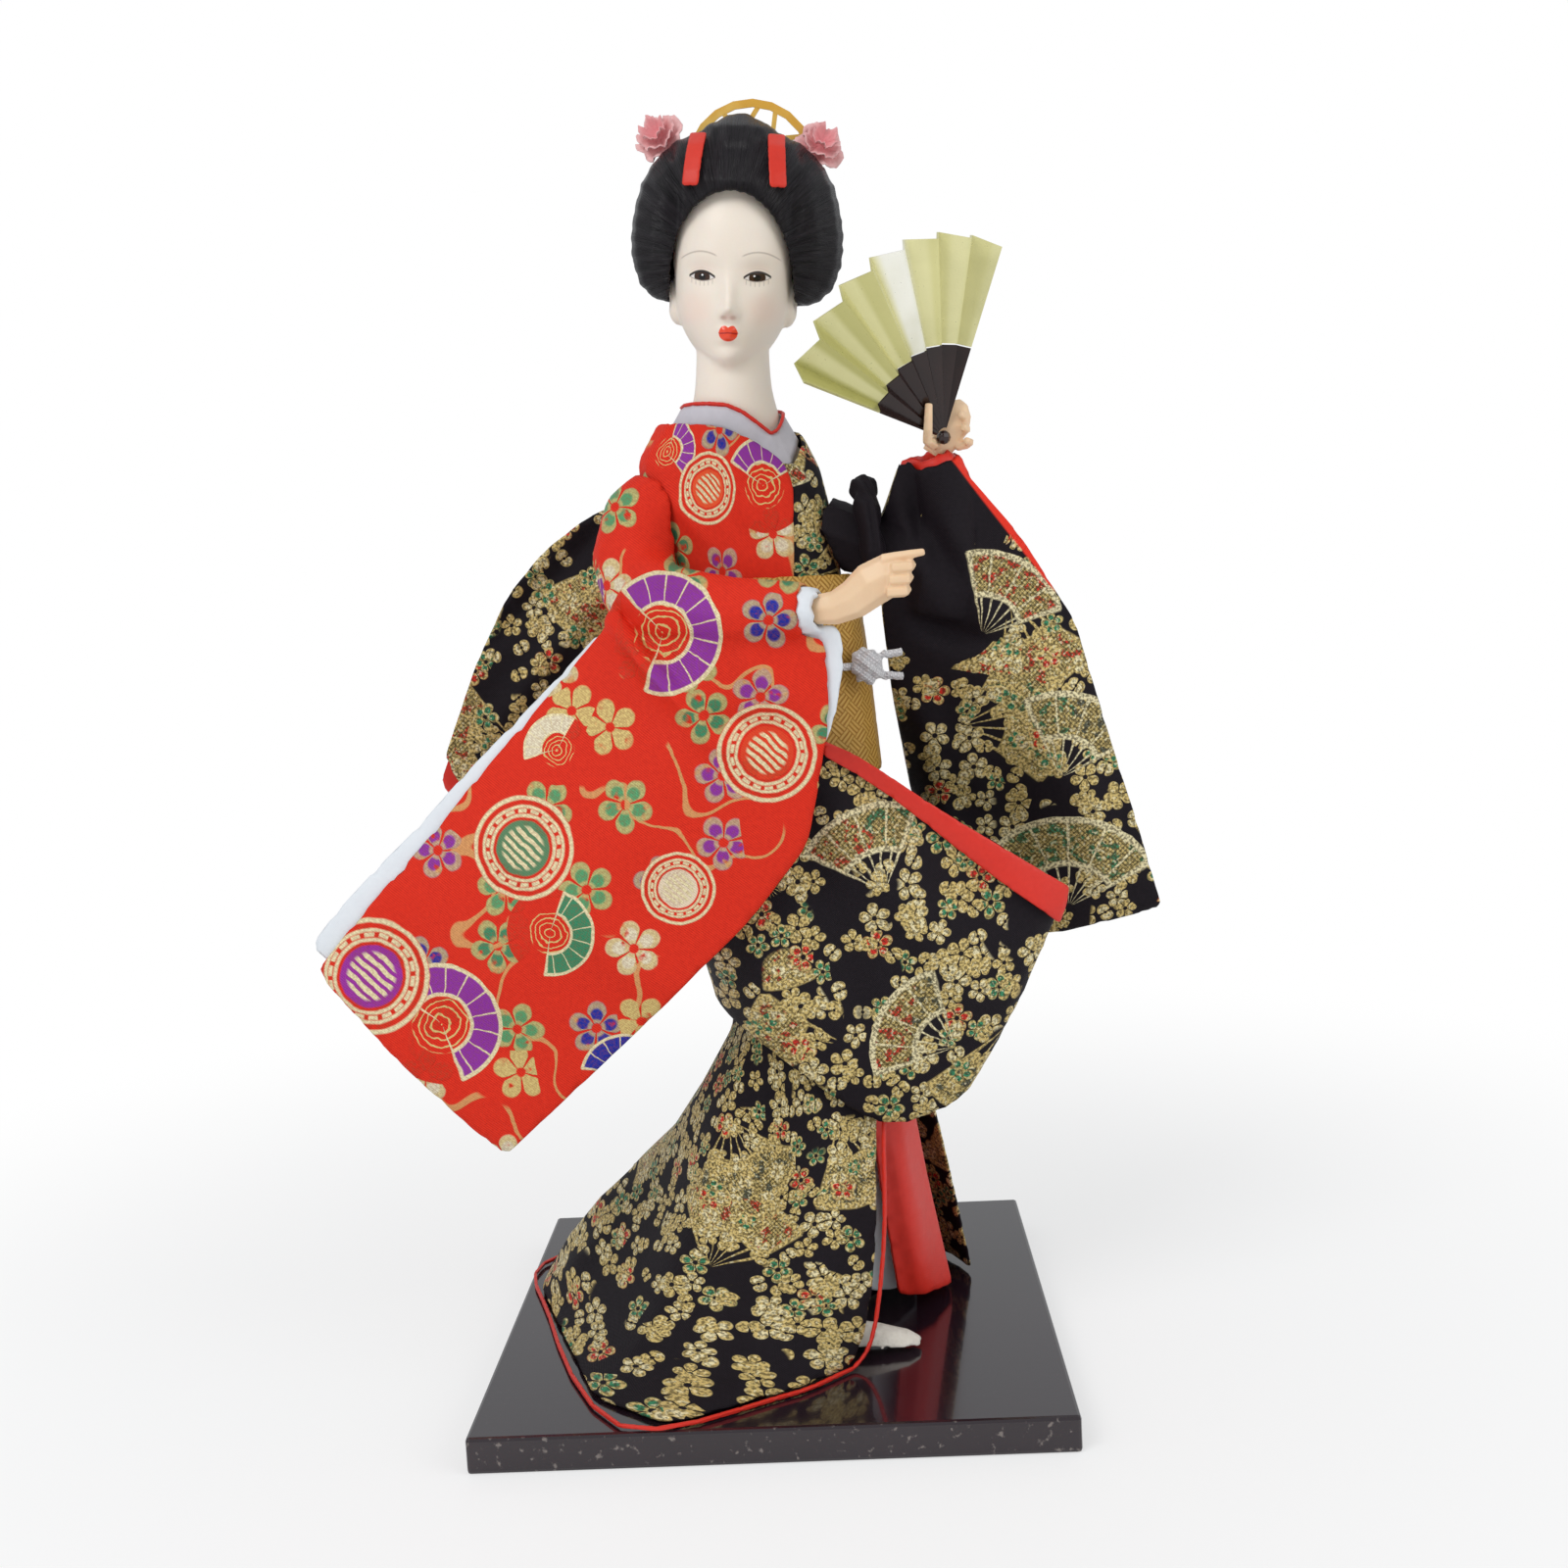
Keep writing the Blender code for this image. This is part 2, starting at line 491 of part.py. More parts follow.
def board_and_rod():
    half = BOARD_SIDE / 2
    board = box("base_board", "lacquer", (-half, -half, -BOARD_THICK), (half, half, 0))
    board.data.shade_flat()
    rounding = board.modifiers.new("edges", "BEVEL")
    rounding.width = BOARD_EDGE_ROUND
    rounding.segments = 2
    sides = 12
    hole = skin("board_hole", "lacquer", [
        ellipse(ROD_X, ROD_Y, ROD_RADIUS + GAP, ROD_RADIUS + GAP, z, sides) for z in (-ROD_IN_BOARD - GAP, 0.001)])
    cut(board, hole)
    top = TRUNK[0][0] + ROD_IN_CORE
    skin("support_rod", "steel", [
        ellipse(ROD_X, ROD_Y, ROD_RADIUS, ROD_RADIUS, z, sides) for z in (-ROD_IN_BOARD, top)])


def core_form(name, grow):
    """The padding's form, following the kimono's neck edge at the top."""
    turn = spread(0.0, 1.0, 17)[:-1]
    angles = [math.atan2(p.y, p.x) for p in (neckline(KIMONO_NECK, t, 0.0) for t in turn)]
    loops = [[trunk_place(a, z, grow) for a in angles] for z in (TRUNK[0][0] - grow, 0.090, 0.125)]
    loops += [[bodice_place(t, d, grow) for t in turn] for d in (1.0, 0.80, 0.60, 0.42, 0.26, 0.14, CHEST_TOP)]
    return skin(name, "padding", loops, "fan")


def core():
    """The padded trunk, bored for the rod and open on top for the neck."""
    body = core_form("body_core", -2 * GAP)
    top = TRUNK[0][0] + ROD_IN_CORE + GAP
    bore = skin("core_bore", "steel", [
        ellipse(ROD_X, ROD_Y, ROD_RADIUS + GAP, ROD_RADIUS + GAP, z, 12) for z in (TRUNK[0][0] - 0.005, top)])
    cut(body, bore, neck("neck_socket", GAP, 14, NECK_DEPTH + GAP))


def neck(name, grow, sides, depth, top=NECK[-1][0]):
    low = TRUNK_TOP - depth
    loops = []
    for z in spread(low, top, 6):
        x, y, half_x, half_y = stations(NECK, z)
        loops.append(ellipse(x, y, half_x + grow, half_y + grow, z, sides))
    return skin(name, "porcelain", loops, "fan")


def head_frame():
    """From the head's own places, measured from the eye line, to the figure's."""
    lean = Matrix.Rotation(HEAD_LEAN, 4, "Y")
    nod = Matrix.Rotation(HEAD_NOD, 4, "X")
    return Matrix.Translation((HEAD_X, HEAD_Y, HEAD_Z)) @ lean @ nod


def egg(table, z, angle, grow=0.0):
    """A place on a head-like form: its front and back have their own depths."""
    half, front, back = stations(table, z)
    depth = (back if math.sin(angle) > 0 else front) + grow
    return Vector(((half + grow) * math.cos(angle), depth * math.sin(angle), z))


def bump(value, middle, width):
    return math.exp(-((value - middle) / width) ** 2)


def face_place(z, angle, grow=0.0):
    """The face's own relief over the egg: nose, eye hollows, lips and chin."""
    place = egg(FACE, z, angle, grow)
    if math.sin(angle) >= 0:
        return place
    x = place.x
    nose = bump(x, 0.0, 0.0020) * (bump(z, -0.0078, 0.0026) + 0.55 * bump(z, -0.0030, 0.0045))
    hollow = (bump(x, -0.0066, 0.0036) + bump(x, 0.0066, 0.0036)) * bump(z, 0.0002, 0.0030)
    lips = bump(x, 0.0, 0.0030) * bump(z, -0.0138, 0.0016)
    chin = bump(x, 0.0, 0.0045) * bump(z, -0.0195, 0.0028)
    place.y += -NOSE_OUT * nose + 0.0011 * hollow - 0.0010 * lips - 0.0007 * chin
    return place


def head():
    frame = head_frame()
    sides = 18
    turn = [math.radians(90) + 2 * math.pi * k / sides for k in range(sides)]
    # More of the columns lie across the face, where the relief is
    turn = [a + 0.32 * math.sin(2 * a + math.pi) * (0.5 - 0.5 * math.sin(a)) for a in turn]
    heights = (-0.0225, -0.0212, -0.0190, -0.0162, -0.0138, -0.0116, -0.0095, -0.0074, -0.0045, -0.0005, 0.0040,
               0.0120, 0.0200, 0.0262)
    loops = [[frame @ face_place(z, a) for a in turn] for z in heights]
    piece = skin("head", "porcelain", loops, "fan")
    unite(piece, neck("neck_form", 0.0, 14, NECK_DEPTH), *ears(frame))


def ears(frame):
    made = []
    for side in (-1, 1):
        bm = bmesh.new()
        bmesh.ops.create_uvsphere(bm, u_segments=8, v_segments=6, radius=1.0)
        bmesh.ops.scale(bm, vec=(0.0026, 0.0034, EAR_HALF_HEIGHT), verts=bm.verts)
        bmesh.ops.translate(bm, vec=(side * 0.0136, 0.0010, -0.0050), verts=bm.verts)
        bmesh.ops.transform(bm, matrix=frame, verts=bm.verts)
        made.append(add("ear_form_%d" % side, bm, "porcelain"))
    return made


def hair_place(z, angle, out=0.0):
    place = egg(HAIR, z, angle, out)
    place.x += HAIR_SHIFT
    return place


def hair():
    """Side wings and front roll, open over the face, with a dome on top."""
    frame = head_frame()
    turn = [2 * math.pi * k / HAIR_SIDES for k in range(HAIR_SIDES)]
    loops = [[frame @ hair_place(row[0], a) for a in turn] for row in HAIR]
    cap = skin("hair_cap", "hair", loops, "fan")
    turn = [2 * math.pi * k / 14 for k in range(14)]
    scalp = [[frame @ egg(FACE, row[0], a, GAP * 4) for a in turn] for row in FACE[4:]]
    inner = skin("scalp_form", "hair", scalp, "fan")
    cut(cap, inner, face_window(frame), neck("neck_room", GAP * 2, 14, 0.0, 0.250), *ear_rooms(frame))
    cut(dome("hair_topknot", frame, 0.0), hair_form("cap_room", frame))
    for side, name in ((-1, "hair_ribbon_left"), (1, "hair_ribbon_right")):
        ribbon(name, side, frame)
    flowers(frame)
    comb(frame)


def dome(name, frame, grow):
    """The dome of hair between the ribbons."""
    loops = []
    for z in spread(0.0225, DOME_TOP, 6):
        f = (z - 0.0225) / (DOME_TOP - 0.0225)
        size = math.sqrt(max(1.0 - f ** 2.4, 0.02))
        loops.append([frame @ p for p in ellipse(0.0010, 0.0020, 0.0128 * size + grow, 0.0150 * size + grow,
                                                 z + grow * f, 14)])
    return skin(name, "hair", loops, "fan")


def hair_form(name, frame):
    """The hair's outer form grown by the gap, to clear what is pinned to it."""
    turn = [2 * math.pi * k / HAIR_SIDES for k in range(HAIR_SIDES)]
    loops = [[frame @ (hair_place(row[0], a, GAP) + Vector((0, 0, GAP if row is HAIR[-1] else 0.0))) for a in turn]
             for row in HAIR[3:]]
    return skin(name, "hair", loops, "fan")


def face_window(frame):
    """The arch that the front roll leaves open over the face."""
    loops = []
    for y in (-0.040, 0.004):
        loop = []
        for a in spread(0.0, math.pi, 11):
            loop.append(frame @ Vector((HAIRLINE_HALF * math.cos(a), y, HAIRLINE_TOP * math.sin(a))))
        loop += [frame @ Vector((x, y, -0.020)) for x in (-HAIRLINE_HALF, 0.0, HAIRLINE_HALF)]
        loops.append(loop)
    return skin("face_window", "hair", loops, "fan")


def ear_rooms(frame):
    made = []
    for side in (-1, 1):
        bm = bmesh.new()
        bmesh.ops.create_uvsphere(bm, u_segments=8, v_segments=6, radius=1.0)
        size = (0.0026 + GAP * 2, 0.0034 + GAP * 2, EAR_HALF_HEIGHT + GAP * 2)
        bmesh.ops.scale(bm, vec=size, verts=bm.verts)
        bmesh.ops.translate(bm, vec=(side * 0.0136, 0.0010, -0.0050), verts=bm.verts)
        bmesh.ops.transform(bm, matrix=frame, verts=bm.verts)
        made.append(add("ear_room_%d" % side, bm, "hair"))
    return made


def ribbon(name, side, frame):
    """A ribbon down the front roll, on the hair's own surface."""
    low, high = 0.0205, 0.0325
    bm = bmesh.new()
    bmesh.ops.create_grid(bm, x_segments=2, y_segments=4, size=0.5)
    for vert in bm.verts:
        z = low + (high - low) * (vert.co.y + 0.5)
        half, front, _ = stations(HAIR, z)
        middle = side * (0.0098 - 0.0010 * (vert.co.y + 0.5))
        x = middle + vert.co.x * RIBBON_WIDTH
        across = min(abs(x) / (half + GAP * 2), 0.98)
        y = -(front + GAP * 2) * math.sqrt(1 - across ** 2)
        vert.co = frame @ Vector((x + HAIR_SHIFT, y, z))
    piece = add(name, bm, "ribbon")
    thicken(piece, RIBBON_THICK, 1.0)


def flowers(frame):
    """Two ruffled cloth flowers beside the comb."""
    for name, place, tip in (("hair_flower_left", (-0.0170, 0.0040, 0.0318), -0.7),
                             ("hair_flower_right", (0.0190, 0.0040, 0.0300), 0.7)):
        sides = 15
        turn = [2 * math.pi * k / sides for k in range(sides)]
        loops = []
        for radius, lift in ((0.40, 0.0), (1.0, 1.0), (0.98, 1.0), (0.4, 0.0)):
            under = len(loops) > 1
            loop = []
            for a in turn:
                ruffle = 1.0 + 0.16 * math.cos(FLOWER_PETALS * a)
                r = FLOWER_RADIUS * radius * ruffle
                rise = 0.0013 * lift * math.cos(FLOWER_PETALS * a + 1.0) + 0.0030 * (1 - radius)
                z = rise - (0.0012 if under else 0.0)
                loop.append(Vector((r * math.cos(a), r * math.sin(a), z)))
            loops.append(loop)
        face = Matrix.Rotation(tip, 4, "Y") @ Matrix.Rotation(math.radians(55), 4, "X")
        stand = frame @ Matrix.Translation(place) @ face
        flower = skin(name, "pink", [[stand @ p for p in loop] for loop in loops], "fan")
        cut(flower, hair_form("hair_room_" + name, frame))


def comb(frame):
    """A half-moon comb: outer rim, an inner arch and spokes between them."""
    middle = Vector((0.0035, 0.0075, 0.0262))
    stand = frame @ Matrix.Translation(middle)

    def arch(name, outer, rim, start, end):
        loops = []
        for a in spread(start, end, 11):
            loop = []
            for r, y in ((outer, -0.5), (outer, 0.5), (outer - rim, 0.5), (outer - rim, -0.5)):
                loop.append(stand @ Vector((r * math.cos(a), y * COMB_THICK, r * math.sin(a))))
            loops.append(loop)
        return skin(name, "gold", loops, "strip")

    piece = arch("comb", COMB_RADIUS, COMB_RIM, math.radians(4), math.radians(176))
    parts = [arch("comb_arch", COMB_RADIUS * 0.62, COMB_RIM, math.radians(2), math.radians(178))]
    for k, a in enumerate(spread(math.radians(12), math.radians(168), COMB_SPOKES)):
        bm = bmesh.new()
        bmesh.ops.create_cube(bm, size=1.0)
        long = COMB_RADIUS - COMB_RADIUS * 0.62
        bmesh.ops.scale(bm, vec=(long, COMB_THICK * 0.9, COMB_RIM * 0.6), verts=bm.verts)
        slant = 0.55 if k % 2 else -0.35
        bmesh.ops.rotate(bm, verts=bm.verts, cent=(0, 0, 0), matrix=Matrix.Rotation(slant, 3, "Y"))
        bmesh.ops.translate(bm, verts=bm.verts, vec=(COMB_RADIUS * 0.81 - COMB_RIM * 0.5, 0, 0))
        bmesh.ops.rotate(bm, verts=bm.verts, cent=(0, 0, 0), matrix=Matrix.Rotation(-a, 3, "Y"))
        bmesh.ops.transform(bm, matrix=stand, verts=bm.verts)
        parts.append(add("comb_spoke_%d" % k, bm, "gold"))
    unite(piece, *parts)
    cut(piece, hair_form("comb_room", frame), dome("comb_dome_room", frame, GAP))


def layer(count):
    """How far out of the trunk the inner side of a cloth layer lies."""
    return 1.5 * GAP + count * (CLOTH + 2 * GAP)


def neckline(table, angle, out):
    """The place on a closed neck edge at a turn from the nape, moved out from the neck."""
    place = Vector(along(table, angle, True))
    away = Vector((place.x, place.y, 0)).normalized()
    return place + away * out


def bodice_place(turn, down, out):
    """The kimono's body at a turn from the nape, 0 to 1 by the viewer's left, and down from the neck."""
    top = neckline(KIMONO_NECK, turn, out)
    angle = math.atan2(top.y, top.x)
    rows = [top]
    for f in (0.15, 0.36, 0.6, 0.8, 1.0):
        rows.append(trunk_place(angle, top.z + (BODICE_LOW - top.z) * f, out))
    return Vector(along(rows, down))


def turn_of(angle):
    """The turn from the nape that faces a given angle, negative angles being in front."""
    return (angle - math.radians(90)) % (2 * math.pi) / (2 * math.pi)


def bodice(name, finish, count, front, back):
    """One half of the kimono's body; front and back give its edges' turns, down from the neck."""
    across, down = 9, 6
    bm = bmesh.new()
    bmesh.ops.create_grid(bm, x_segments=across, y_segments=down, size=0.5)
    for vert in bm.verts:
        f = vert.co.y + 0.5
        start, end = front(f), back(f)
        vert.co = bodice_place(start + (end - start) * (vert.co.x + 0.5), f, layer(count))
    piece = add(name, bm, finish)
    thicken(piece, CLOTH, outward(piece))
    return piece


def outward(piece):
    """The side to thicken an open sheet on, so that its wall grows away from the trunk."""
    face = max(piece.data.polygons, key=lambda f: f.area)
    away = face.center - Vector((0.005, 0.0, face.center.z))
    return 1.0 if face.normal.dot(away) > 0 else -1.0


def bodice_form(name, out, low=0.0):
    """The closed outer form of the kimono's body, to clear what lies on it."""
    out += GAP if out else 0.0
    turn = spread(0.0, 1.0, 19)[:-1]
    loops = [[bodice_place(t, d, out) for t in turn] for d in spread(low, 1.0, 6)]
    return skin(name, "padding", loops, "fan")


def collar():
    """The silk collar with its red piping."""
    around = 17
    turn = [i / around for i in range(around)]
    top = [neckline(SILK_TOP, t, 0.0) for t in turn]
    low = [neckline(KIMONO_NECK, t, -GAP) - Vector((0, 0, SILK_TUCK)) for t in turn]
    piece = skin("under_collar", "silk", [top, low], "open")
    thicken(piece, CLOTH)
    cut(piece, neck("collar_room", GAP, 14, 0.012), core_form("collar_chest_room", GAP))
    lift = Vector((0, 0, GAP + PIPING_RADIUS))
    piping = tube("collar_piping", "red_lining", [p + lift for p in top], (PIPING_RADIUS, PIPING_RADIUS), 4, around,
                  closed=True)
    cut(piping, neck("piping_room", GAP, 14, 0.0))


def kimono_body():
    """Red half over black half, with holes for the arms."""
    red = bodice("red_bodice", "red_brocade", 1,
                 lambda f: turn_of(float(along([(a,) for a in RED_EDGE], f)[0])), lambda f: -SEAM_LAP)
    black = bodice("black_bodice", "black_brocade", 0,
                   lambda f: turn_of(BLACK_EDGE), lambda f: 1.0 - SEAM_LAP)
    cut(red, arm_room("red_arm_hole", RED_ARM))
    cut(black, arm_room("black_arm_hole", BLACK_ARM))


def arms():
    """Padded wire arms, from the trunk's sides into the sleeves."""
    for name, path, radius in (("right_arm", RED_ARM, ARM_RADIUS), ("left_arm", BLACK_ARM, ARM_RADIUS)):
        piece = tube(name, "padding", path, (radius, radius * 0.95, radius * 0.9), 6, 7)
        cut(piece, core_form("trunk_room_" + name, 2 * GAP))


def arm_room(name, path, grow=2 * GAP, more=0.01):
    return tube(name, "padding", path, (ARM_RADIUS, ARM_RADIUS * 0.95, ARM_RADIUS * 0.9), 6, 7, grow=grow, more=more)


def wrist_open(down):
    """1 beside the wrist's slit, falling to 0 where the sleeve's side is sewn shut."""
    return min(1.0, max(0.0, (WRIST_SLIT - down) / 0.08))


def sash_room(name, out=0.0):
    """The sash's own closed outer form, to clear what lies on it."""
    turn = [2 * math.pi * k / SASH_SIDES for k in range(SASH_SIDES)]
    far = layer(2) + OBI_WALL + GAP + out
    loops = [[trunk_place(a, z, far) for a in turn] for z in (OBI_BOTTOM - GAP, (OBI_BOTTOM + OBI_TOP) / 2, OBI_TOP + GAP)]
    return skin(name, "obi", loops, "fan")


def red_sleeve():
    """A short arm tube and a long hanging bag in one, lined in white, open at the wrist and at the side."""
    def forms(tag, finish, grow, more=0.0, u_low=None, u_high=None, v=(0.0, 1.0)):
        arm = tube(tag, finish, RED_ARM, RED_ARM_RADII, 10, 7, grow=grow, more=more)
        return arm, pillow(tag + "_bag", finish, RED_BAG, RED_BAG_HALF, 2, 7, grow, u_low, u_high, v)

    outer, bag = forms("red_sleeve", "red_brocade", 0.0)
    fold = tube("red_fold", "red_brocade", RED_FOLD, RED_FOLD_RADII, 5, 3)
    unite(outer, bag, fold)
    cut(outer, *forms("red_hollow", "white_lining", -CLOTH, 0.004, lambda y: -0.14,
                      lambda y: 0.975 + 0.2 * wrist_open(y), (0.02, 0.975)))
    cut(outer, bodice_form("red_sleeve_room", layer(2)), sash_room("red_sash_room"))
    lining, flat = forms("red_sleeve_lining", "white_lining", -CLOTH - GAP, 0.0042, lambda y: -0.01 - 0.075 * y,
                         lambda y: 0.965 + 0.14 * wrist_open(y) * (1 - 2.2 * y), (0.027, 0.968))
    unite(lining, flat)
    cut(lining, bodice_form("red_lining_room", layer(2)), arm_room("red_arm_room", RED_ARM),
        right_palm("right_hand_room", 2 * GAP), sash_room("red_lining_sash_room"))


def black_sleeve():
    """The raised arm's sleeve, lined in red."""
    def forms(tag, finish, grow, more=0.0, u_low=None, u_high=None, v=(0.0, 1.0)):
        upper = tube(tag, finish, BLACK_UPPER, (0.0088, 0.0086, 0.0080), 8, 3, grow=grow)
        fore = tube(tag + "_fore", finish, BLACK_FORE, (0.0080, 0.0078, 0.0062), 8, 4, grow=grow, more=more)
        bag = pillow(tag + "_bag", finish, BLACK_BAG, BLACK_BAG_HALF, 2, 5, grow, u_low, u_high, v)
        return upper, fore, bag

    outer, *others = forms("black_sleeve_left", "black_brocade", 0.0)
    unite(outer, *others)
    cut(outer, *forms("black_hollow", "red_lining", -CLOTH, 0.004, lambda y: 0.02,
                      lambda y: 1.05 - 0.5 * min(y, 0.2), (-0.02, 0.975)))
    cut(outer, bodice_form("black_sleeve_room", layer(1)), sash_room("black_sash_room"))
    lining, *others = forms("black_sleeve_left_lining", "red_lining", -CLOTH - GAP, BLACK_LINING_SHOWS,
                            lambda y: 0.03, lambda y: 1.015 - 0.5 * min(y, 0.2), (-0.015, 0.965))
    unite(lining, *others)
    cut(lining, bodice_form("black_lining_room", layer(1)), arm_room("black_arm_room", BLACK_ARM),
        left_palm("left_hand_room", 2 * GAP), sash_room("black_lining_sash_room"))
    gather = tube("black_gather", "black_brocade", GATHER, GATHER_RADII, 7, 6)
    cut(gather, *forms("gather_room", "black_brocade", GAP),
        bodice_form("gather_bodice_room", layer(2)), sash_room("gather_sash_room"))


def empty_sleeve():
    """The black sleeve that hangs empty behind, with its red lining at the open end."""
    outer = pillow("black_sleeve_right", "black_brocade", EMPTY_BAG, EMPTY_BAG_HALF, 4, 6)
    pocket = pillow("empty_pocket", "red_lining", EMPTY_BAG, EMPTY_BAG_HALF, 4, 6, grow=-CLOTH,
                    u_low=lambda y: 0.03, u_high=lambda y: 0.97, v=(0.70, 1.06))
    cut(outer, pocket, bodice_form("empty_room", layer(2)))
    pillow("black_sleeve_right_lining", "red_lining", EMPTY_BAG, EMPTY_BAG_HALF, 4, 6, grow=-CLOTH - GAP,
           u_low=lambda y: 0.045, u_high=lambda y: 0.955, v=(0.71, 1.035))


def sash():
    """The sash, its cord with a front knot, and the tied bow behind."""
    turn = [2 * math.pi * k / SASH_SIDES for k in range(SASH_SIDES)]
    loops = [[trunk_place(a, z, layer(2) + OBI_WALL) for a in turn] for z in spread(OBI_BOTTOM, OBI_TOP, 3)]
    piece = skin("obi", "obi", loops, "open")
    thicken(piece, OBI_WALL)
    cord_ring("obijime", 0.0)


def cord_ring(name, grow):
    turn = [2 * math.pi * k / SASH_SIDES for k in range(SASH_SIDES)]
    path = [trunk_place(a, CORD_HEIGHT, layer(2) + OBI_WALL + 2 * GAP + CORD_RADIUS) for a in turn]
    return tube(name, "cord", path, (CORD_RADIUS, CORD_RADIUS), 4, SASH_SIDES, grow=grow, closed=True)


def bow():
    """The sash's flat drum knot at the back."""
    back = trunk_place(math.radians(90), CORD_HEIGHT, layer(2) + OBI_WALL + GAP)
    low = (back.x - BOW_WIDTH / 2, back.y, CORD_HEIGHT - BOW_HEIGHT / 2)
    high = (back.x + BOW_WIDTH / 2, back.y + BOW_DEPTH, CORD_HEIGHT + BOW_HEIGHT / 2)
    piece = box("obi_bow", "obi", low, high)
    rounding = piece.modifiers.new("edges", "BEVEL")
    rounding.width = BOW_DEPTH / 6
    rounding.segments = 1
    cut(piece, sash_room("bow_room", 2 * (CORD_RADIUS + GAP)))


def cord_knot():
    """The tied front of the sash cord, with its two short ends."""
    bm = bmesh.new()
    bmesh.ops.create_uvsphere(bm, u_segments=8, v_segments=5, radius=KNOT_RADIUS)
    bmesh.ops.scale(bm, vec=(1.0, 0.75, 1.1), verts=bm.verts)
    angle = math.radians(-38)
    place = trunk_place(angle, CORD_HEIGHT, layer(2) + OBI_WALL + 2 * GAP + 2 * CORD_RADIUS + KNOT_RADIUS * 0.35)
    bmesh.ops.translate(bm, vec=place, verts=bm.verts)
    piece = add("obijime_knot", bm, "cord")
    ends = []
    for k, rise in enumerate((0.0022, -0.0022)):
        tip = place + Vector((KNOT_END_LENGTH, 0.0012, rise * 1.3))
        ends.append(tube("knot_end_%d" % k, "cord", [place, place + Vector((0.003, 0.0, rise)), tip],
                         (CORD_RADIUS, CORD_RADIUS), 4, 2))
    unite(piece, *ends)
    cut(piece, sash_room("knot_room"), cord_ring("knot_cord_room", GAP))


def overskirt():
    """The over-skirt, drawn out to a corner at one hip, and its red turned edge."""
    around, down = 20, 6
    loops = [[surface(OVERSKIRT, i / around, v, True) for i in range(around)] for v in spread(0.0, 1.0, down + 1)]
    piece = skin("hip_flap", "black_brocade", loops, "open")
    thicken(piece, CLOTH)
    bm = bmesh.new()
    bmesh.ops.create_grid(bm, x_segments=7, y_segments=2, size=0.5)
    for vert in bm.verts:
        u = 0.012 + (0.25 - 0.012) * (vert.co.x + 0.5)
        width = float(along([(BAND_AT_CORNER,), (BAND_MIDWAY,), (BAND_AT_WAIST,)], u / 0.25)[0])
        place = Vector(surface(OVERSKIRT, u, width * (vert.co.y + 0.5), True))
        vert.co = place - Vector((0, 3 * GAP, 0))
    band = add("hip_flap_band", bm, "red_lining")
    thicken(band, BAND_THICK, outward(band))
    rim = [[surface(OVERSKIRT, i / around, v, True) for i in range(around)] for v in spread(-0.02, 1.02, down + 1)]
    room = skin("flap_room", "black_brocade", rim, "open")
    thicken(room, CLOTH + 2 * GAP, 2 * GAP / (CLOTH + 2 * GAP) - 1)
    cut(band, room)


def skirt_sheet(name, wall, offset_out):
    bm = bmesh.new()
    bmesh.ops.create_grid(bm, x_segments=14, y_segments=9, size=0.5)
    for vert in bm.verts:
        vert.co = Vector(surface(SKIRT, vert.co.x + 0.5, vert.co.y + 0.5))
    piece = add(name, bm, "black_brocade")
    side = outward(piece)
    thicken(piece, wall, side * (2 * offset_out / wall - 1))
    return piece


def skirt():
    """The open skirt with its train on the board, and the red rolled edge in front."""
    piece = skirt_sheet("skirt", CLOTH, 0.0)
    floor = box("board_room", "lacquer", (-0.2, -0.2, -0.02), (0.2, 0.2, GAP))
    cut(piece, floor)
    clear = PIPING_RADIUS + 4 * GAP
    path = []
    for v in spread(0.30, 0.97, 10):
        edge = Vector(surface(SKIRT, 0.0, v))
        front = (edge - Vector(surface(SKIRT, 0.03, v))).normalized()
        path.append(edge + front * clear)
    for u in [0.0] + spread(0.05, 0.52, 13):
        edge = Vector(surface(SKIRT, u, 1.0))
        away = edge - Vector(surface(SKIRT, u, 0.97))
        away.z = 0.0
        place = edge + away.normalized() * clear + (front * clear if u == 0.0 else Vector())
        place.z = PIPING_RADIUS + GAP
        path.append(place)
    piping = tube("skirt_piping", "red_lining", path, (PIPING_RADIUS, PIPING_RADIUS), 4, 30)
    cut(piping, skirt_sheet("piping_skirt_room", CLOTH + 2 * GAP, GAP))


def underskirt(name, finish, table, start, end):
    """An open under-skirt, lifted a little off the board in front."""
    across, down = 12, 3
    rows = []
    for z, (x, y, half_x, half_y) in zip((UNDERSKIRT_TOP, 0.045, CLOTH + GAP), table):
        row = []
        for a in spread(start, end, 9):
            lift = UNDERSKIRT_LIFT * max(0.0, -math.sin(a)) if z < UNDERSKIRT_LIFT else 0.0
            row.append((x + half_x * math.cos(a), y + half_y * math.sin(a), z + lift))
        rows.append(row)
    bm = bmesh.new()
    bmesh.ops.create_grid(bm, x_segments=across, y_segments=down, size=0.5)
    for vert in bm.verts:
        vert.co = Vector(surface(rows, vert.co.x + 0.5, vert.co.y + 0.5))
    piece = add(name, bm, finish)
    thicken(piece, CLOTH, -outward(piece))


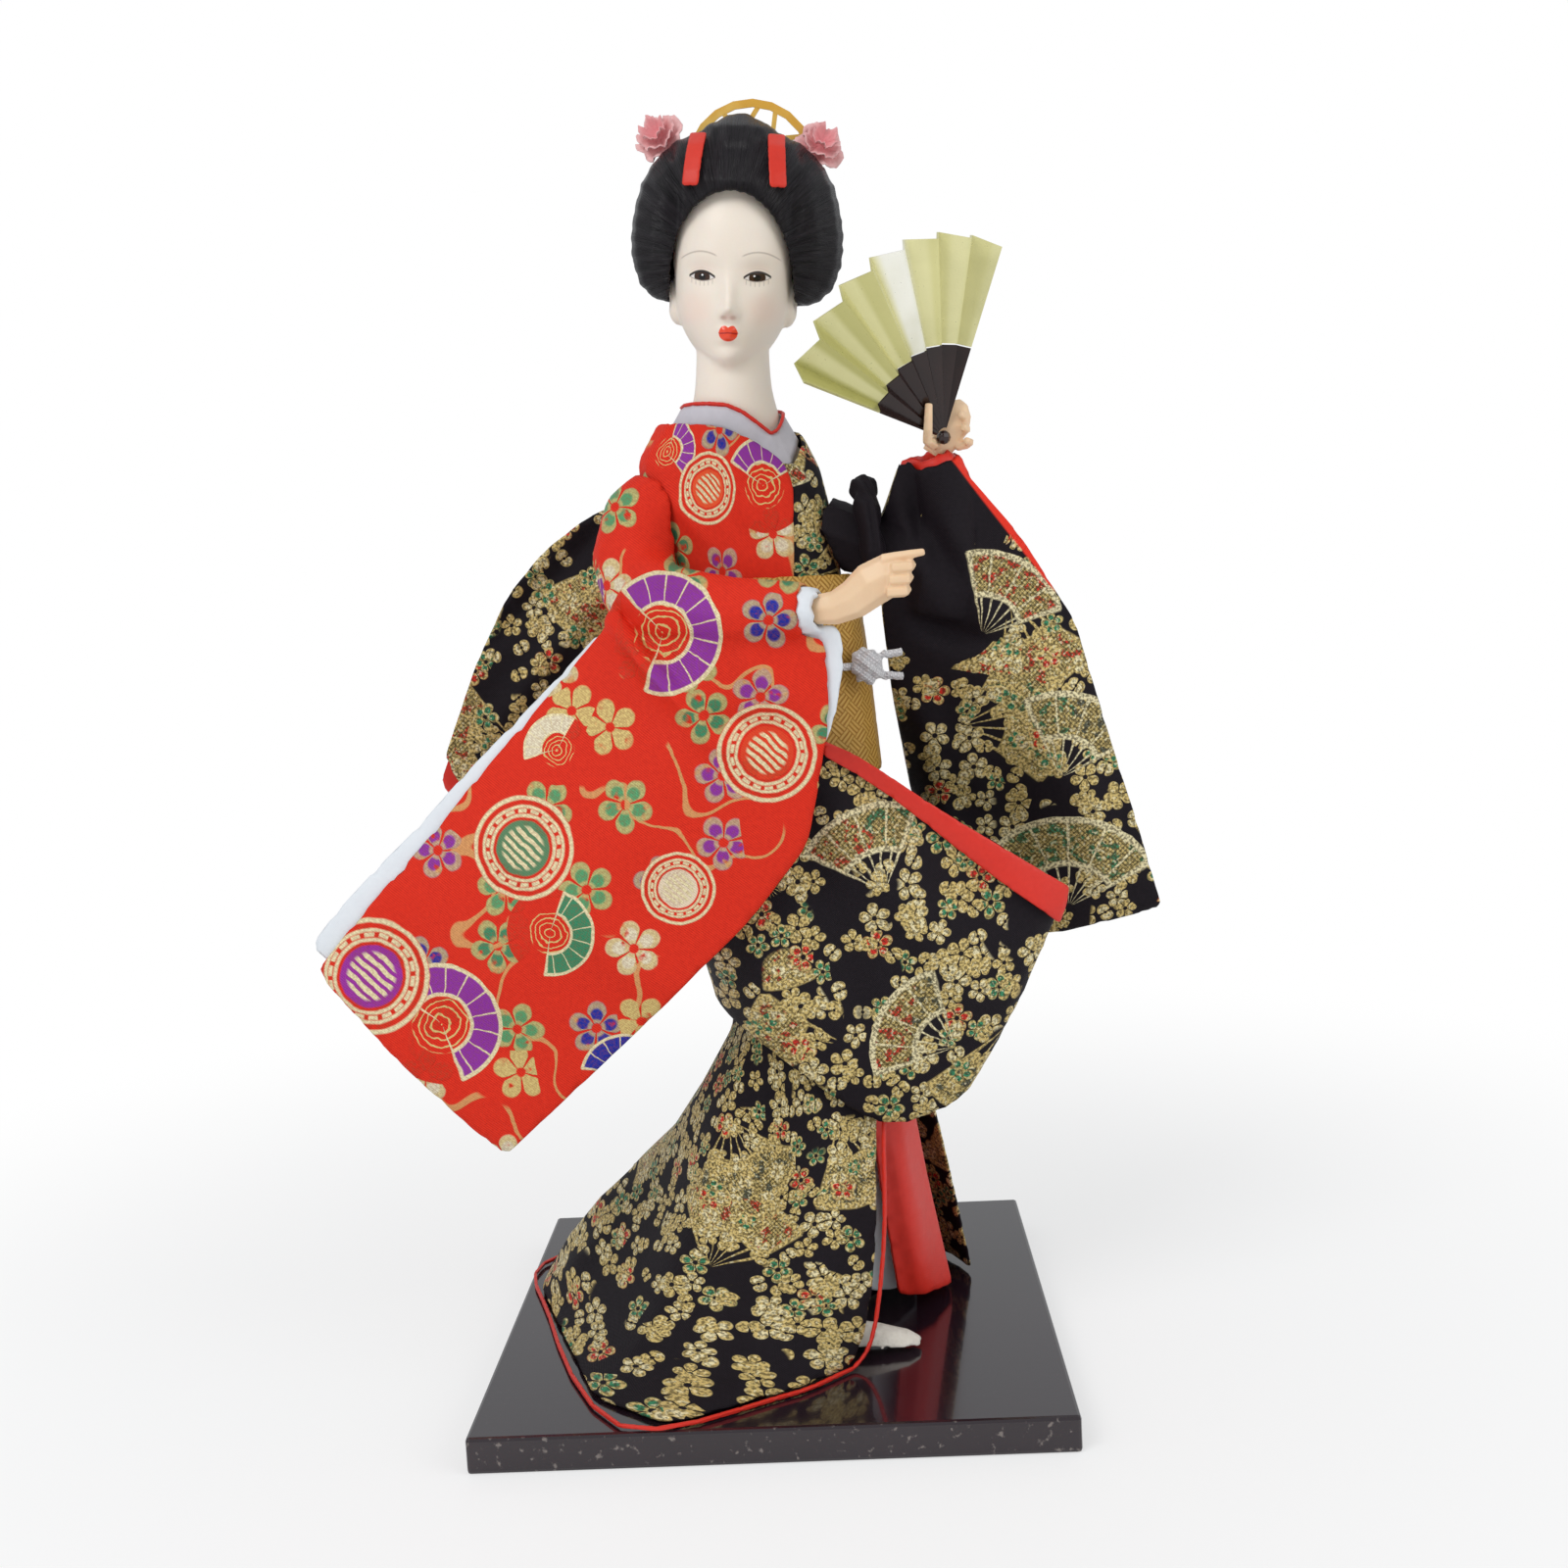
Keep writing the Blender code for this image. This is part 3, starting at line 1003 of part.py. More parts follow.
def foot(name, heel, toe, shin_top):
    """A foot in its sock with the shin above it."""
    heel, toe = Vector(heel), Vector(toe)
    ahead = (toe - heel).normalized()
    across = Vector((-ahead.y, ahead.x, 0))
    loops = []
    for f, wide, high in ((0.0, 0.50, 0.70), (0.10, 0.76, 1.00), (0.35, 0.84, 0.98), (0.68, 1.0, 0.68),
                          (0.90, 0.90, 0.44), (1.0, 0.45, 0.25)):
        loop = []
        for k in range(8):
            a = 2 * math.pi * k / 8
            low = -0.25 if math.sin(a) < 0 else 1.0
            side = across * (FOOT_WIDTH / 2 * wide * math.cos(a))
            rise = FOOT_HEIGHT * high * (0.25 + 0.75 * math.sin(a) * low)
            loop.append(heel + ahead * FOOT_LENGTH * f + side + Vector((0, 0, max(rise, 0) + GAP)))
        loops.append(loop)
    piece = skin(name, "white_lining", loops, "fan")
    ankle = heel + ahead * FOOT_LENGTH * 0.2 + Vector((0, 0, FOOT_HEIGHT * 0.5))
    top = Vector(shin_top)
    shin = tube(name + "_shin", "white_lining", [ankle, ankle.lerp(top, 0.5), top],
                (SHIN_RADIUS * 0.8, SHIN_RADIUS, SHIN_RADIUS), 6, 2)
    unite(piece, shin)
    cut(piece, box(name + "_top", "padding", (-0.1, -0.1, TRUNK[0][0] - GAP), (0.1, 0.1, TRUNK[0][0] + 0.03)))


def right_palm(name, grow=0.0):
    """The pointing hand from the wrist to the knuckles."""
    start = Vector(RED_ARM[-1]) + Vector((GAP * 3, 0, 0))
    path = [start + Vector(p) for p in ((0, 0, 0), (0.0065, -0.0022, 0.0006), (0.0125, -0.0042, 0.0048), RIGHT_KNUCKLE,
                                        (0.0205, -0.0056, 0.0074))]
    return tube(name, "porcelain", path, (0.0033, 0.0040, 0.0050, 0.0044, 0.0024), 8, 6, grow=grow, squash=0.62)


def right_hand():
    """The hand that points: a fist with the first finger out."""
    piece = right_palm("right_hand")
    knuckle = Vector(RED_ARM[-1]) + Vector((GAP * 3, 0, 0)) + Vector(RIGHT_KNUCKLE)
    fingers = [tube("pointing_finger", "porcelain",
                    [knuckle + Vector((-0.003, -0.0004, 0.0026)), knuckle + Vector((0.0015, -0.0008, 0.0034)),
                     knuckle + Vector((0.0062, -0.0012, 0.0040))],
                    (FINGER_RADIUS * 1.3, FINGER_RADIUS, FINGER_RADIUS * 0.7), 6, 3)]
    for k in range(3):
        drop = Vector((0.0004 - 0.0006 * k, 0.0, 0.0014 - 0.0026 * k))
        fingers.append(tube("curled_finger_%d" % k, "porcelain",
                            [knuckle + drop + Vector((-0.001, 0.0028, 0)), knuckle + drop + Vector((0.0030, 0.0008, 0)),
                             knuckle + drop + Vector((0.0022, -0.0026, -0.0004)),
                             knuckle + drop + Vector((-0.0016, -0.0032, -0.0004))],
                            (FINGER_RADIUS * 1.1,) * 3, 5, 3))
    unite(piece, *fingers)
    cut(piece, arm_room("right_wrist_room", RED_ARM, GAP, GAP))


def left_palm(name, grow=0.0):
    """The fan hand from the wrist to the finger roots."""
    start = Vector(BLACK_ARM[-1]) + Vector((-0.0001, -0.0002, GAP * 3))
    path = [start + Vector(p) for p in ((0, 0, 0), (0.0020, -0.0004, 0.0030), (0.0045, -0.0008, 0.0068),
                                        (0.0055, -0.0008, 0.0100), (0.0052, -0.0006, 0.0120))]
    return tube(name, "porcelain", path, (0.0030, 0.0036, 0.0042, 0.0032, 0.0014), 8, 6, grow=grow, squash=0.55)


def left_hand():
    """The hand that holds the fan's sticks between thumb and fingers."""
    piece = left_palm("left_hand")
    start = Vector(BLACK_ARM[-1])
    pivot = Vector(FAN_PIVOT)
    fingers = [tube("thumb", "porcelain",
                    [start + Vector((0.0015, -0.0002, 0.0040)), pivot + Vector((-0.0036, -0.0018, -0.0012)),
                     pivot + Vector((-0.0037, -0.0056, 0.0028)), pivot + Vector((-0.0034, -0.0064, 0.0072))],
                    (FINGER_RADIUS * 1.4, FINGER_RADIUS * 1.1, FINGER_RADIUS * 0.95, FINGER_RADIUS * 0.8), 6, 5)]
    for k in range(3):
        rise = Vector((-0.0006 * k, 0.0, 0.0030 * k - 0.0020))
        fingers.append(tube("holding_finger_%d" % k, "porcelain",
                            [pivot + rise + Vector((0.0030, 0.0032, 0.0)), pivot + rise + Vector((0.0060, 0.0018, 0.0005)),
                             pivot + rise + Vector((0.0050, -0.0006, 0.0010))],
                            (FINGER_RADIUS, FINGER_RADIUS, FINGER_RADIUS * 0.8), 5, 3))
    unite(piece, *fingers)
    cut(piece, arm_room("left_wrist_room", BLACK_ARM, GAP, GAP), pivot_ball("pivot_room", GAP),
        pleats("stick_room", "black_stick", FAN_PIVOT_RADIUS, FAN_STICK_RADIUS, FAN_THICK + 2 * GAP))


def fan_place(radius, angle, lift):
    """A place on the fan: from its pivot, out along an angle and off its plane."""
    axis = Vector((math.cos(FAN_START), 0, math.sin(FAN_START)))
    side = Vector((-math.sin(FAN_START), 0, math.cos(FAN_START)))
    side = side * math.cos(FAN_TURN) - Vector((0, math.sin(FAN_TURN), 0))
    normal = axis.cross(side)
    ray = axis * math.cos(angle) + side * math.sin(angle)
    return Vector(FAN_PIVOT) + ray * radius + normal * lift * radius


def fan_folds():
    """Angles of the fold lines, a wide and a narrow face to each pleat, and their side of the plane."""
    step = FAN_SPREAD / FAN_PLEATS
    folds = []
    for k in range(FAN_PLEATS):
        folds.append((k * step, FAN_FOLD))
        folds.append((k * step + step * FAN_WIDE_SHARE, -FAN_FOLD))
    folds.append((FAN_SPREAD, FAN_FOLD))
    return folds


def pleats(name, finish, near, far, wall, scallop=0.0):
    """A pleated sheet between two radii of the fan."""
    folds = fan_folds()
    bm = bmesh.new()
    bmesh.ops.create_grid(bm, x_segments=len(folds) - 1, y_segments=1, size=0.5)
    for vert in bm.verts:
        k = round((vert.co.x + 0.5) * (len(folds) - 1))
        outer = scallop if vert.co.y > 0 and folds[k][1] < 0 else 0.0
        vert.co = fan_place(near + (far - near) * (vert.co.y + 0.5) + outer, *folds[k])
    piece = add(name, bm, finish)
    thicken(piece, wall, 0.0)
    return piece


def fan():
    pleats("fan_leaf", "gold", FAN_STICK_RADIUS + GAP, FAN_RADIUS, FAN_THICK, FAN_SCALLOP)
    pleats("fan_sticks", "black_stick", FAN_PIVOT_RADIUS + 2 * GAP, FAN_STICK_RADIUS, FAN_THICK)
    pivot_ball("fan_pivot", 0.0)


def pivot_ball(name, grow):
    bm = bmesh.new()
    bmesh.ops.create_uvsphere(bm, u_segments=8, v_segments=6, radius=FAN_PIVOT_RADIUS + grow)
    bmesh.ops.translate(bm, vec=Vector(FAN_PIVOT), verts=bm.verts)
    return add(name, bm, "black_stick")


def build():
    board_and_rod()
    core()
    head()
    hair()
    collar()
    kimono_body()
    arms()
    red_sleeve()
    black_sleeve()
    empty_sleeve()
    sash()
    bow()
    cord_knot()
    overskirt()
    skirt()
    underskirt("underskirt_red", "red_lining", RED_UNDER, math.radians(-58), math.radians(225))
    underskirt("underskirt_white", "white_lining", WHITE_UNDER, math.radians(-62), math.radians(228))
    foot("right_foot", (0.0040, -0.0285, 0), (0.0330, -0.0290, 0), (0.0190, -0.0040, 0.0620))
    foot("left_foot", (-0.0040, 0.0095, 0), (0.0250, 0.0085, 0), (0.0075, 0.0050, 0.0620))
    right_hand()
    left_hand()
    fan()


for existing in list(bpy.data.objects):
    bpy.data.objects.remove(existing, do_unlink=True)
build()
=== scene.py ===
"""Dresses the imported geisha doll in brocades, linings, skin, hair, gold and lacquer."""

import math

import bmesh
import bpy
import numpy as np
from bpy.props import BoolProperty, FloatProperty, FloatVectorProperty, PointerProperty
from mathutils import Matrix, Vector, noise


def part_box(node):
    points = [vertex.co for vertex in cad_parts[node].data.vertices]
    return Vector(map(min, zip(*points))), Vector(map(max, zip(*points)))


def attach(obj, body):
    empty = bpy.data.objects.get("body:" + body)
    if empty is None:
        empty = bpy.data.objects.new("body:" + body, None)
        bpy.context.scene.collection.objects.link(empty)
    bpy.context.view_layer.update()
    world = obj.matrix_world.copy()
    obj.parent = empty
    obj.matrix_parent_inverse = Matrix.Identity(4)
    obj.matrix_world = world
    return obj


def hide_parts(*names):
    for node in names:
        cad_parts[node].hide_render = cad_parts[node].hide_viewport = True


bl_info = {
    "name": "Geisha doll",
    "version": (1, 0, 0),
    "blender": (4, 5, 0),
    "location": "3D View > Sidebar > Doll",
    "description": "Dresses a packed doll in brocade and paints its face",
    "category": "Object",
}

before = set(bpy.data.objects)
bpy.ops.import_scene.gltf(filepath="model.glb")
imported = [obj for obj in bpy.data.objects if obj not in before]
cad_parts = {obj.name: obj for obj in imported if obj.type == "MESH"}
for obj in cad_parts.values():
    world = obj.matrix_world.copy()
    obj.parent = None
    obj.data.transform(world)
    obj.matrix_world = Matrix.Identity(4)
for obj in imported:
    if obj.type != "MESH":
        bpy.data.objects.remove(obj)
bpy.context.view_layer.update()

MM = 0.001
# The board's top face; places on the figure are heights above it
BOARD_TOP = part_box("base_board")[1].z

# Camera: where it stands, its turn, tilt and lean, and its lens
CAMERA_PLACE = (0.0207, -0.4234, 0.1877)
CAMERA_YAW = math.radians(-1.752)
CAMERA_PITCH = math.radians(-6.626)
CAMERA_ROLL = math.radians(-2.963)
CAMERA_LENS = 40.5
# Where both lamps look, and what the camera sees behind the doll
LAMP_AIM = Vector((0, 0, 0.15))
WHITE = (1, 1, 1, 1)

# Head: the middle of its eye line, its nod and its lean
HEAD_MIDDLE = (0.0018, 0.0020, 0.2490)
HEAD_NOD = math.radians(8)
HEAD_LEAN = math.radians(4.5)

# Head from the eye line: height, half width, depth forwards, depth backwards
SKULL = (
    (-0.0193, 0.0000, 0.0095, -0.0050),
    (-0.0188, 0.0038, 0.0130, 0.0000),
    (-0.0175, 0.0062, 0.0150, 0.0030),
    (-0.0152, 0.0085, 0.0161, 0.0062),
    (-0.0126, 0.0104, 0.0165, 0.0096),
    (-0.0095, 0.0120, 0.0166, 0.0118),
    (-0.0058, 0.0131, 0.0164, 0.0135),
    (0.0000, 0.0137, 0.0162, 0.0152),
    (0.0060, 0.0141, 0.0162, 0.0160),
    (0.0125, 0.0138, 0.0156, 0.0158),
    (0.0190, 0.0120, 0.0130, 0.0140),
    (0.0240, 0.0085, 0.0090, 0.0100),
    (0.0265, 0.0000, 0.0000, 0.0000),
)
# Neck: height over the board, middle x, middle y, half width, half depth
NECK = (
    (0.2050, -0.0005, 0.0000, 0.0088, 0.0064),
    (0.2125, 0.0000, 0.0000, 0.0116, 0.0080),
    (0.2180, 0.0004, -0.0002, 0.0106, 0.0088),
    (0.2230, 0.0006, -0.0004, 0.0093, 0.0087),
    (0.2290, 0.0008, 0.0000, 0.0087, 0.0086),
    (0.2400, 0.0012, 0.0010, 0.0086, 0.0086),
)
# Face, from the middle of the eye line: the eyes' place, half length, half opening and slant, and the heights
EYE_APART = 0.0063
EYE_HEIGHT = 0.0011
EYE_HALF = 0.0030
EYE_OPEN = 0.0011
EYE_TURN = math.radians(3)
BROW_HEIGHT = 0.0052
NOSE_HEIGHT = -0.0064
LIPS_HEIGHT = -0.0113


# ---- Numbers in a material ----


class Num:
    """A value in a node tree that adds and multiplies as a number does."""

    def __init__(self, socket):
        self.socket = socket
        self.tree = socket.id_data

    def __add__(self, other):
        return calc("ADD", self, other)

    __radd__ = __add__

    def __sub__(self, other):
        return calc("SUBTRACT", self, other)

    def __rsub__(self, other):
        return calc("SUBTRACT", other, self)

    def __mul__(self, other):
        return calc("MULTIPLY", self, other)

    __rmul__ = __mul__

    def __truediv__(self, other):
        return calc("DIVIDE", self, other)

    def __abs__(self):
        return calc("ABSOLUTE", self)


def feed(socket, value):
    """Link a value to a socket, or set a plain value on it."""
    if isinstance(value, Num):
        value.tree.links.new(value.socket, socket)
    else:
        socket.default_value = value


def new_node(tree, kind, given=(), **settings):
    """A shader node with its settings, and values for its inputs by label or number."""
    node = tree.nodes.new("ShaderNode" + kind)
    for name, value in settings.items():
        setattr(node, name, value)
    for label, value in dict(given).items():
        feed(node.inputs[label], value)
    return node


def calc(operation, *values):
    tree = next(value.tree for value in values if isinstance(value, Num))
    return Num(new_node(tree, "Math", dict(enumerate(values)), operation=operation).outputs[0])


def sine(value):
    return calc("SINE", value)


def most(value, *others):
    for other in others:
        value = calc("MAXIMUM", value, other)
    return value


def length(x, y):
    return calc("SQRT", x * x + y * y)


def step_up(value, low, high):
    """0 below low and 1 above high."""
    given = {"Value": value, "From Min": low, "From Max": high}
    return Num(new_node(value.tree, "MapRange", given, interpolation_type="SMOOTHSTEP").outputs["Result"])


def step_down(value, low, high):
    """1 below low and 0 above high."""
    return 1.0 - step_up(value, low, high)


def between(value, low, high, soft):
    """1 from low to high, with soft edges."""
    return step_up(value, low - soft, low + soft) * step_down(value, high - soft, high + soft)


def parts_of(vector):
    return [Num(socket) for socket in new_node(vector.tree, "SeparateXYZ", {0: vector}).outputs]


def joined(x, y, z=0.0):
    return Num(new_node(x.tree, "CombineXYZ", {0: x, 1: y, 2: z}).outputs[0])


# A Mix node's sockets go by number: 4 and 5 give vectors, 6 and 7 give colours


def blend_vector(share, under, over):
    return Num(new_node(share.tree, "Mix", {0: share, 4: under, 5: over}, data_type="VECTOR").outputs[1])


def blend_colour(share, under, over):
    return Num(new_node(share.tree, "Mix", {0: share, 6: under, 7: over}, data_type="RGBA").outputs[2])


def rough_noise(vector, scale, detail=3.0):
    return Num(new_node(vector.tree, "TexNoise",
                        {"Vector": vector, "Scale": scale, "Detail": detail}).outputs[0])


def nearest_figure(vector, figures):
    """Where a place lies in the figure that covers it, with the figure's number as z, and its hue.

    Each figure has its middle and size in millimetres, its turn, its number and its hue.
    """
    local = (9.0, 9.0, 1.0)
    hue = (1, 1, 1, 1)
    for x, y, size, turn, number, colour in figures:
        x, y, size = x * MM, y * MM, size * MM
        away = new_node(vector.tree, "VectorMath", {0: vector, 1: (x, y, 0)}, operation="DISTANCE")
        covers = calc("LESS_THAN", Num(away.outputs["Value"]), size)
        given = {"Vector": vector, "Location": (x, y, -number), "Rotation": (0, 0, turn),
                 "Scale": (size, size, 1)}
        here = new_node(vector.tree, "Mapping", given, vector_type="TEXTURE")
        local = blend_vector(covers, local, Num(here.outputs[0]))
        hue = blend_colour(covers, hue, colour)
    return local, hue


def group(name, numbers, outputs, fill):
    """A node group of a place and some numbers, built once: fill turns its inputs into its outputs."""
    tree = bpy.data.node_groups.get(name)
    if tree:
        return tree
    tree = bpy.data.node_groups.new(name, "ShaderNodeTree")
    tree.interface.new_socket("Vector", in_out="INPUT", socket_type="NodeSocketVector")
    for label, value in numbers.items():
        tree.interface.new_socket(label, in_out="INPUT", socket_type="NodeSocketFloat").default_value = value
    for label in outputs:
        kind = "NodeSocketVector" if label == "Local" else "NodeSocketFloat"
        tree.interface.new_socket(label, in_out="OUTPUT", socket_type=kind)
    entry = tree.nodes.new("NodeGroupInput")
    leave = tree.nodes.new("NodeGroupOutput")
    for label, value in zip(outputs, fill(*(Num(entry.outputs[label]) for label in ("Vector", *numbers)))):
        feed(leave.inputs[label], value)
    return tree


def use(made, **values):
    given = {label.replace("_", " "): value for label, value in values.items()}
    node = new_node(values["Vector"].tree, "Group", given, node_tree=made)
    return [Num(socket) for socket in node.outputs]


def polar(vector):
    x, y, _ = parts_of(vector)
    return calc("ARCTAN2", y, x), length(x, y)


def blossom():
    """Petals round a middle, with gold at their rims."""
    def fill(vector, petals):
        angle, far = polar(vector)
        wave = abs(calc("COSINE", angle * petals * 0.5))
        reach = 0.42 + 0.58 * calc("POWER", wave, 0.55)
        split = step_up(wave, 0.16, 0.30)
        inside = step_down(far, reach - 0.10, reach) * split * step_up(far, 0.14, 0.22)
        core = step_down(far, reach - 0.34, reach - 0.22) * step_up(wave, 0.34, 0.52)
        core = core * step_up(far, 0.26, 0.36)
        return inside, inside * (1.0 - core)
    return group("Blossom", {"Petals": 5.0}, ("Petal", "Rim"), fill)


def scatter():
    """A place to draw a figure in each cell of a loose lattice, turned at random."""
    def fill(vector, cell, seed):
        x, y, _ = parts_of(vector)
        x = x / cell + seed
        y = y / cell + seed * 1.7
        grid = new_node(vector.tree, "TexVoronoi", voronoi_dimensions="2D")
        for label, value in (("Vector", joined(x, y)), ("Scale", 1.0), ("Randomness", 0.72)):
            feed(grid.inputs[label], value)
        px, py, _ = parts_of(Num(grid.outputs["Position"]))
        pick, other, third = parts_of(Num(grid.outputs["Color"]))
        turn = other * math.tau
        dx = x - px
        dy = y - py
        cosine = calc("COSINE", turn)
        rise = sine(turn)
        return joined(dx * cosine - dy * rise, dx * rise + dy * cosine), pick, third
    return group("Scattered places", {"Cell": 0.01, "Seed": 0.0}, ("Local", "Pick", "Other Pick"), fill)


def fan_figure():
    """An open fan: its leaf, gold lines on it and its ribs."""
    def fill(vector, half_spread):
        angle, far = polar(vector)
        wide = step_down(abs(angle), half_spread - 0.03, half_spread)
        leaf = between(far, 0.48, 0.97, 0.015) * wide
        pleat = abs(calc("FRACT", angle * 2.4) - 0.5)
        edge = between(far, 0.93, 1.0, 0.012) + between(far, 0.45, 0.51, 0.012)
        side = between(abs(angle), half_spread - 0.07, half_spread, 0.02) * between(far, 0.05, 0.98, 0.01)
        lines = most(edge * wide, step_up(pleat, 0.44, 0.48) * leaf)
        rib = abs(calc("FRACT", angle * 3.5) - 0.5)
        ribs = between(far, 0.04, 0.47, 0.01) * wide * step_up(rib, 0.36, 0.44)
        return leaf, most(lines, side), ribs
    return group("Fan figure", {"Half Spread": 1.1}, ("Leaf", "Lines", "Ribs"), fill)


def drum_figure():
    """Concentric rings round a flowered middle."""
    def fill(vector):
        angle, far = polar(vector)
        rings = between(far, 0.90, 0.98, 0.02) + between(far, 0.74, 0.80, 0.02)
        rings = rings + between(far, 0.58, 0.64, 0.02)
        middle = step_down(far, 0.50, 0.54)
        x, y, _ = parts_of(vector)
        bars = step_up(abs(sine((x + y) * 16.0)), 0.55, 0.75) * step_down(far, 0.36, 0.44)
        dashes = between(far, 0.66, 0.73, 0.02) * step_up(abs(sine(angle * 9.0)), 0.35, 0.6)
        return middle, most(rings, most(bars * middle, dashes))
    return group("Drum figure", {}, ("Middle", "Lines"), fill)


def weave():
    """Crossing threads: their height and a little shade between them."""
    def fill(vector, pitch, rib):
        x, y, _ = parts_of(vector)
        across = sine(x * math.tau / pitch)
        down = sine(y * math.tau / pitch)
        plain = across * down * 0.5 + 0.5
        ribs = abs(sine((x * 0.62 + y * 0.78) * math.pi / pitch))
        height = plain * (1.0 - rib) + ribs * rib
        return height, height * 0.5 + rough_noise(vector, 900.0) * 0.5
    return group("Woven threads", {"Pitch": 0.0005, "Rib": 0.0}, ("Height", "Shade"), fill)


# ---- Materials ----


def coordinates(tree, layer=None):
    """A named map's places, or the object's own in metres."""
    if layer:
        return Num(new_node(tree, "UVMap", uv_map=layer).outputs[0])
    return Num(new_node(tree, "TexCoord").outputs["Object"])


def new_material(name, layer=None):
    """A material and the places that it is painted by."""
    made = bpy.data.materials.new(name)
    made.use_nodes = True
    return made, coordinates(made.node_tree, layer)


def finish_material(made, colour, rough, height, distance, **others):
    """Give the shader its colour, roughness, relief and other inputs, which are named by label."""
    shader = made.node_tree.nodes["Principled BSDF"]
    relief = new_node(made.node_tree, "Bump", {"Height": height, "Distance": distance})
    others.update(Base_Color=colour, Roughness=rough, Normal=Num(relief.outputs[0]))
    for label, value in others.items():
        feed(shader.inputs[label.replace("_", " ")], value)
    return made


RED_LINING = (0.84, 0.040, 0.020, 1)
GOLD_THREAD = (0.70, 0.53, 0.20, 1)
PALE_GOLD = (0.86, 0.76, 0.46, 1)
LEAF_GREEN = (0.045, 0.26, 0.13, 1)
BLOSSOM_RED = (0.72, 0.035, 0.025, 1)
PURPLE = (0.28, 0.035, 0.36, 1)
BLUE = (0.015, 0.03, 0.34, 1)
CREAM = (0.80, 0.72, 0.52, 1)


def chosen_colour(pick, colours):
    """One of the colours, in equal shares of pick."""
    node = new_node(pick.tree, "ValToRGB", {0: pick})
    node.color_ramp.interpolation = "CONSTANT"
    marks = node.color_ramp.elements
    while len(marks) < len(colours):
        marks.new(0.5)
    for k, (mark, colour) in enumerate(zip(marks, colours)):
        mark.position = k / len(colours)
        mark.color = colour
    return Num(node.outputs[0])


def black_brocade(name, seed=0.0, placed=(), density=0.42, bare=()):
    """Near-black cloth woven with gold, green and red blossoms and gold fans."""
    made, cloth = new_material(name, "cloth")
    wobble = rough_noise(cloth, 260.0, 2.0)
    x, y, _ = parts_of(cloth)
    frayed = joined(x + (wobble - 0.5) * 0.0009, y + (wobble - 0.5) * 0.0007)
    height, shade = use(weave(), Vector=cloth, Pitch=0.00052, Rib=0.0)
    colour = blend_colour(shade, (0.002, 0.001, 0.002, 1), (0.016, 0.011, 0.016, 1))
    crowd = rough_noise(cloth, 34.0, 1.0)
    for bare_x, bare_y, size in bare:
        away = length((x - bare_x * MM) / (size * MM), (y - bare_y * MM) / (size * MM))
        crowd = crowd - step_down(away, 0.7, 1.1) * 0.8
    # Painted light on the gold threads: the first mask picks the threads that catch the light, and threads
    # outside it are painted dark brown as painted shade (it also sets their metal and relief); the second
    # mask marks painted near-white highlights
    glint = step_up(rough_noise(cloth, 1500.0, 1.0), 0.40, 0.58)
    painted_highlight = step_up(rough_noise(cloth, 1100.0, 2.0), 0.56, 0.66)

    local, pick, other = use(scatter(), Vector=frayed, Cell=0.042, Seed=seed + 3.1)
    lx, ly, _ = parts_of(local)
    leaf, lines, ribs = use(fan_figure(), Vector=joined((lx + 0.22) * 1.75, ly * 1.75), Half_Spread=0.85)
    there = step_up(pick * 0.6 + crowd * 0.8, density + 0.24, density + 0.25)
    check_x = abs(sine((x + y) * 2600.0))
    check_y = abs(sine((x - y) * 2600.0))
    field = step_up(check_x * check_y, 0.10, 0.40)
    patch = blend_colour(step_up(rough_noise(cloth, 420.0, 2.0), 0.52, 0.58), GOLD_THREAD,
                         chosen_colour(other, (LEAF_GREEN, BLOSSOM_RED, (0.10, 0.12, 0.10, 1))))
    patch = blend_colour(field * 0.75 + 0.1, (0.10, 0.085, 0.03, 1), patch)
    colour = blend_colour(leaf * there, colour, patch)
    colour = blend_colour(most(lines, ribs) * there, colour, GOLD_THREAD)
    thread = most(leaf, lines, ribs) * there

    for k, (cell, size, petals, colours, gate) in enumerate((
            (0.0088, 2.35, 5.0, (GOLD_THREAD, LEAF_GREEN, PALE_GOLD, BLOSSOM_RED), 0.0),
            (0.0074, 2.5, 5.0, (GOLD_THREAD, LEAF_GREEN, GOLD_THREAD, PALE_GOLD), 0.03),
            (0.0068, 3.0, 2.0, (PALE_GOLD, GOLD_THREAD), 0.02))):
        local, pick, other = use(scatter(), Vector=frayed, Cell=cell, Seed=seed + 7.3 * (k + 1))
        lx, ly, _ = parts_of(local)
        petal, rim = use(blossom(), Vector=joined(lx * size, ly * size), Petals=petals)
        there = step_up(pick * 0.5 + crowd * 0.8, density + gate + 0.16, density + gate + 0.18)
        colour = blend_colour(petal * there, colour, chosen_colour(other, colours))
        colour = blend_colour(rim * there, colour, GOLD_THREAD)
        thread = most(thread, petal * there)

    if placed:
        local, _ = nearest_figure(frayed, placed)
        leaf, lines, ribs = use(fan_figure(), Vector=local, Half_Spread=parts_of(local)[2])
        colour = blend_colour(leaf, colour, patch)
        colour = blend_colour(most(lines, ribs), colour, PALE_GOLD)
        thread = most(thread, leaf, lines, ribs)

    # Painted shade on the threads outside the glint, then painted near-white highlights on the threads
    colour = blend_colour(thread * (1.0 - glint) * 0.72, colour, (0.035, 0.022, 0.006, 1))
    colour = blend_colour(thread * painted_highlight * 0.55, colour, (0.98, 0.90, 0.58, 1))
    return finish_material(made, colour, 0.62 - thread * 0.24, height * 0.5 + thread * (0.5 + 0.5 * glint),
                           0.00018, Metallic=thread * glint * 0.35, Specular_IOR_Level=0.16)


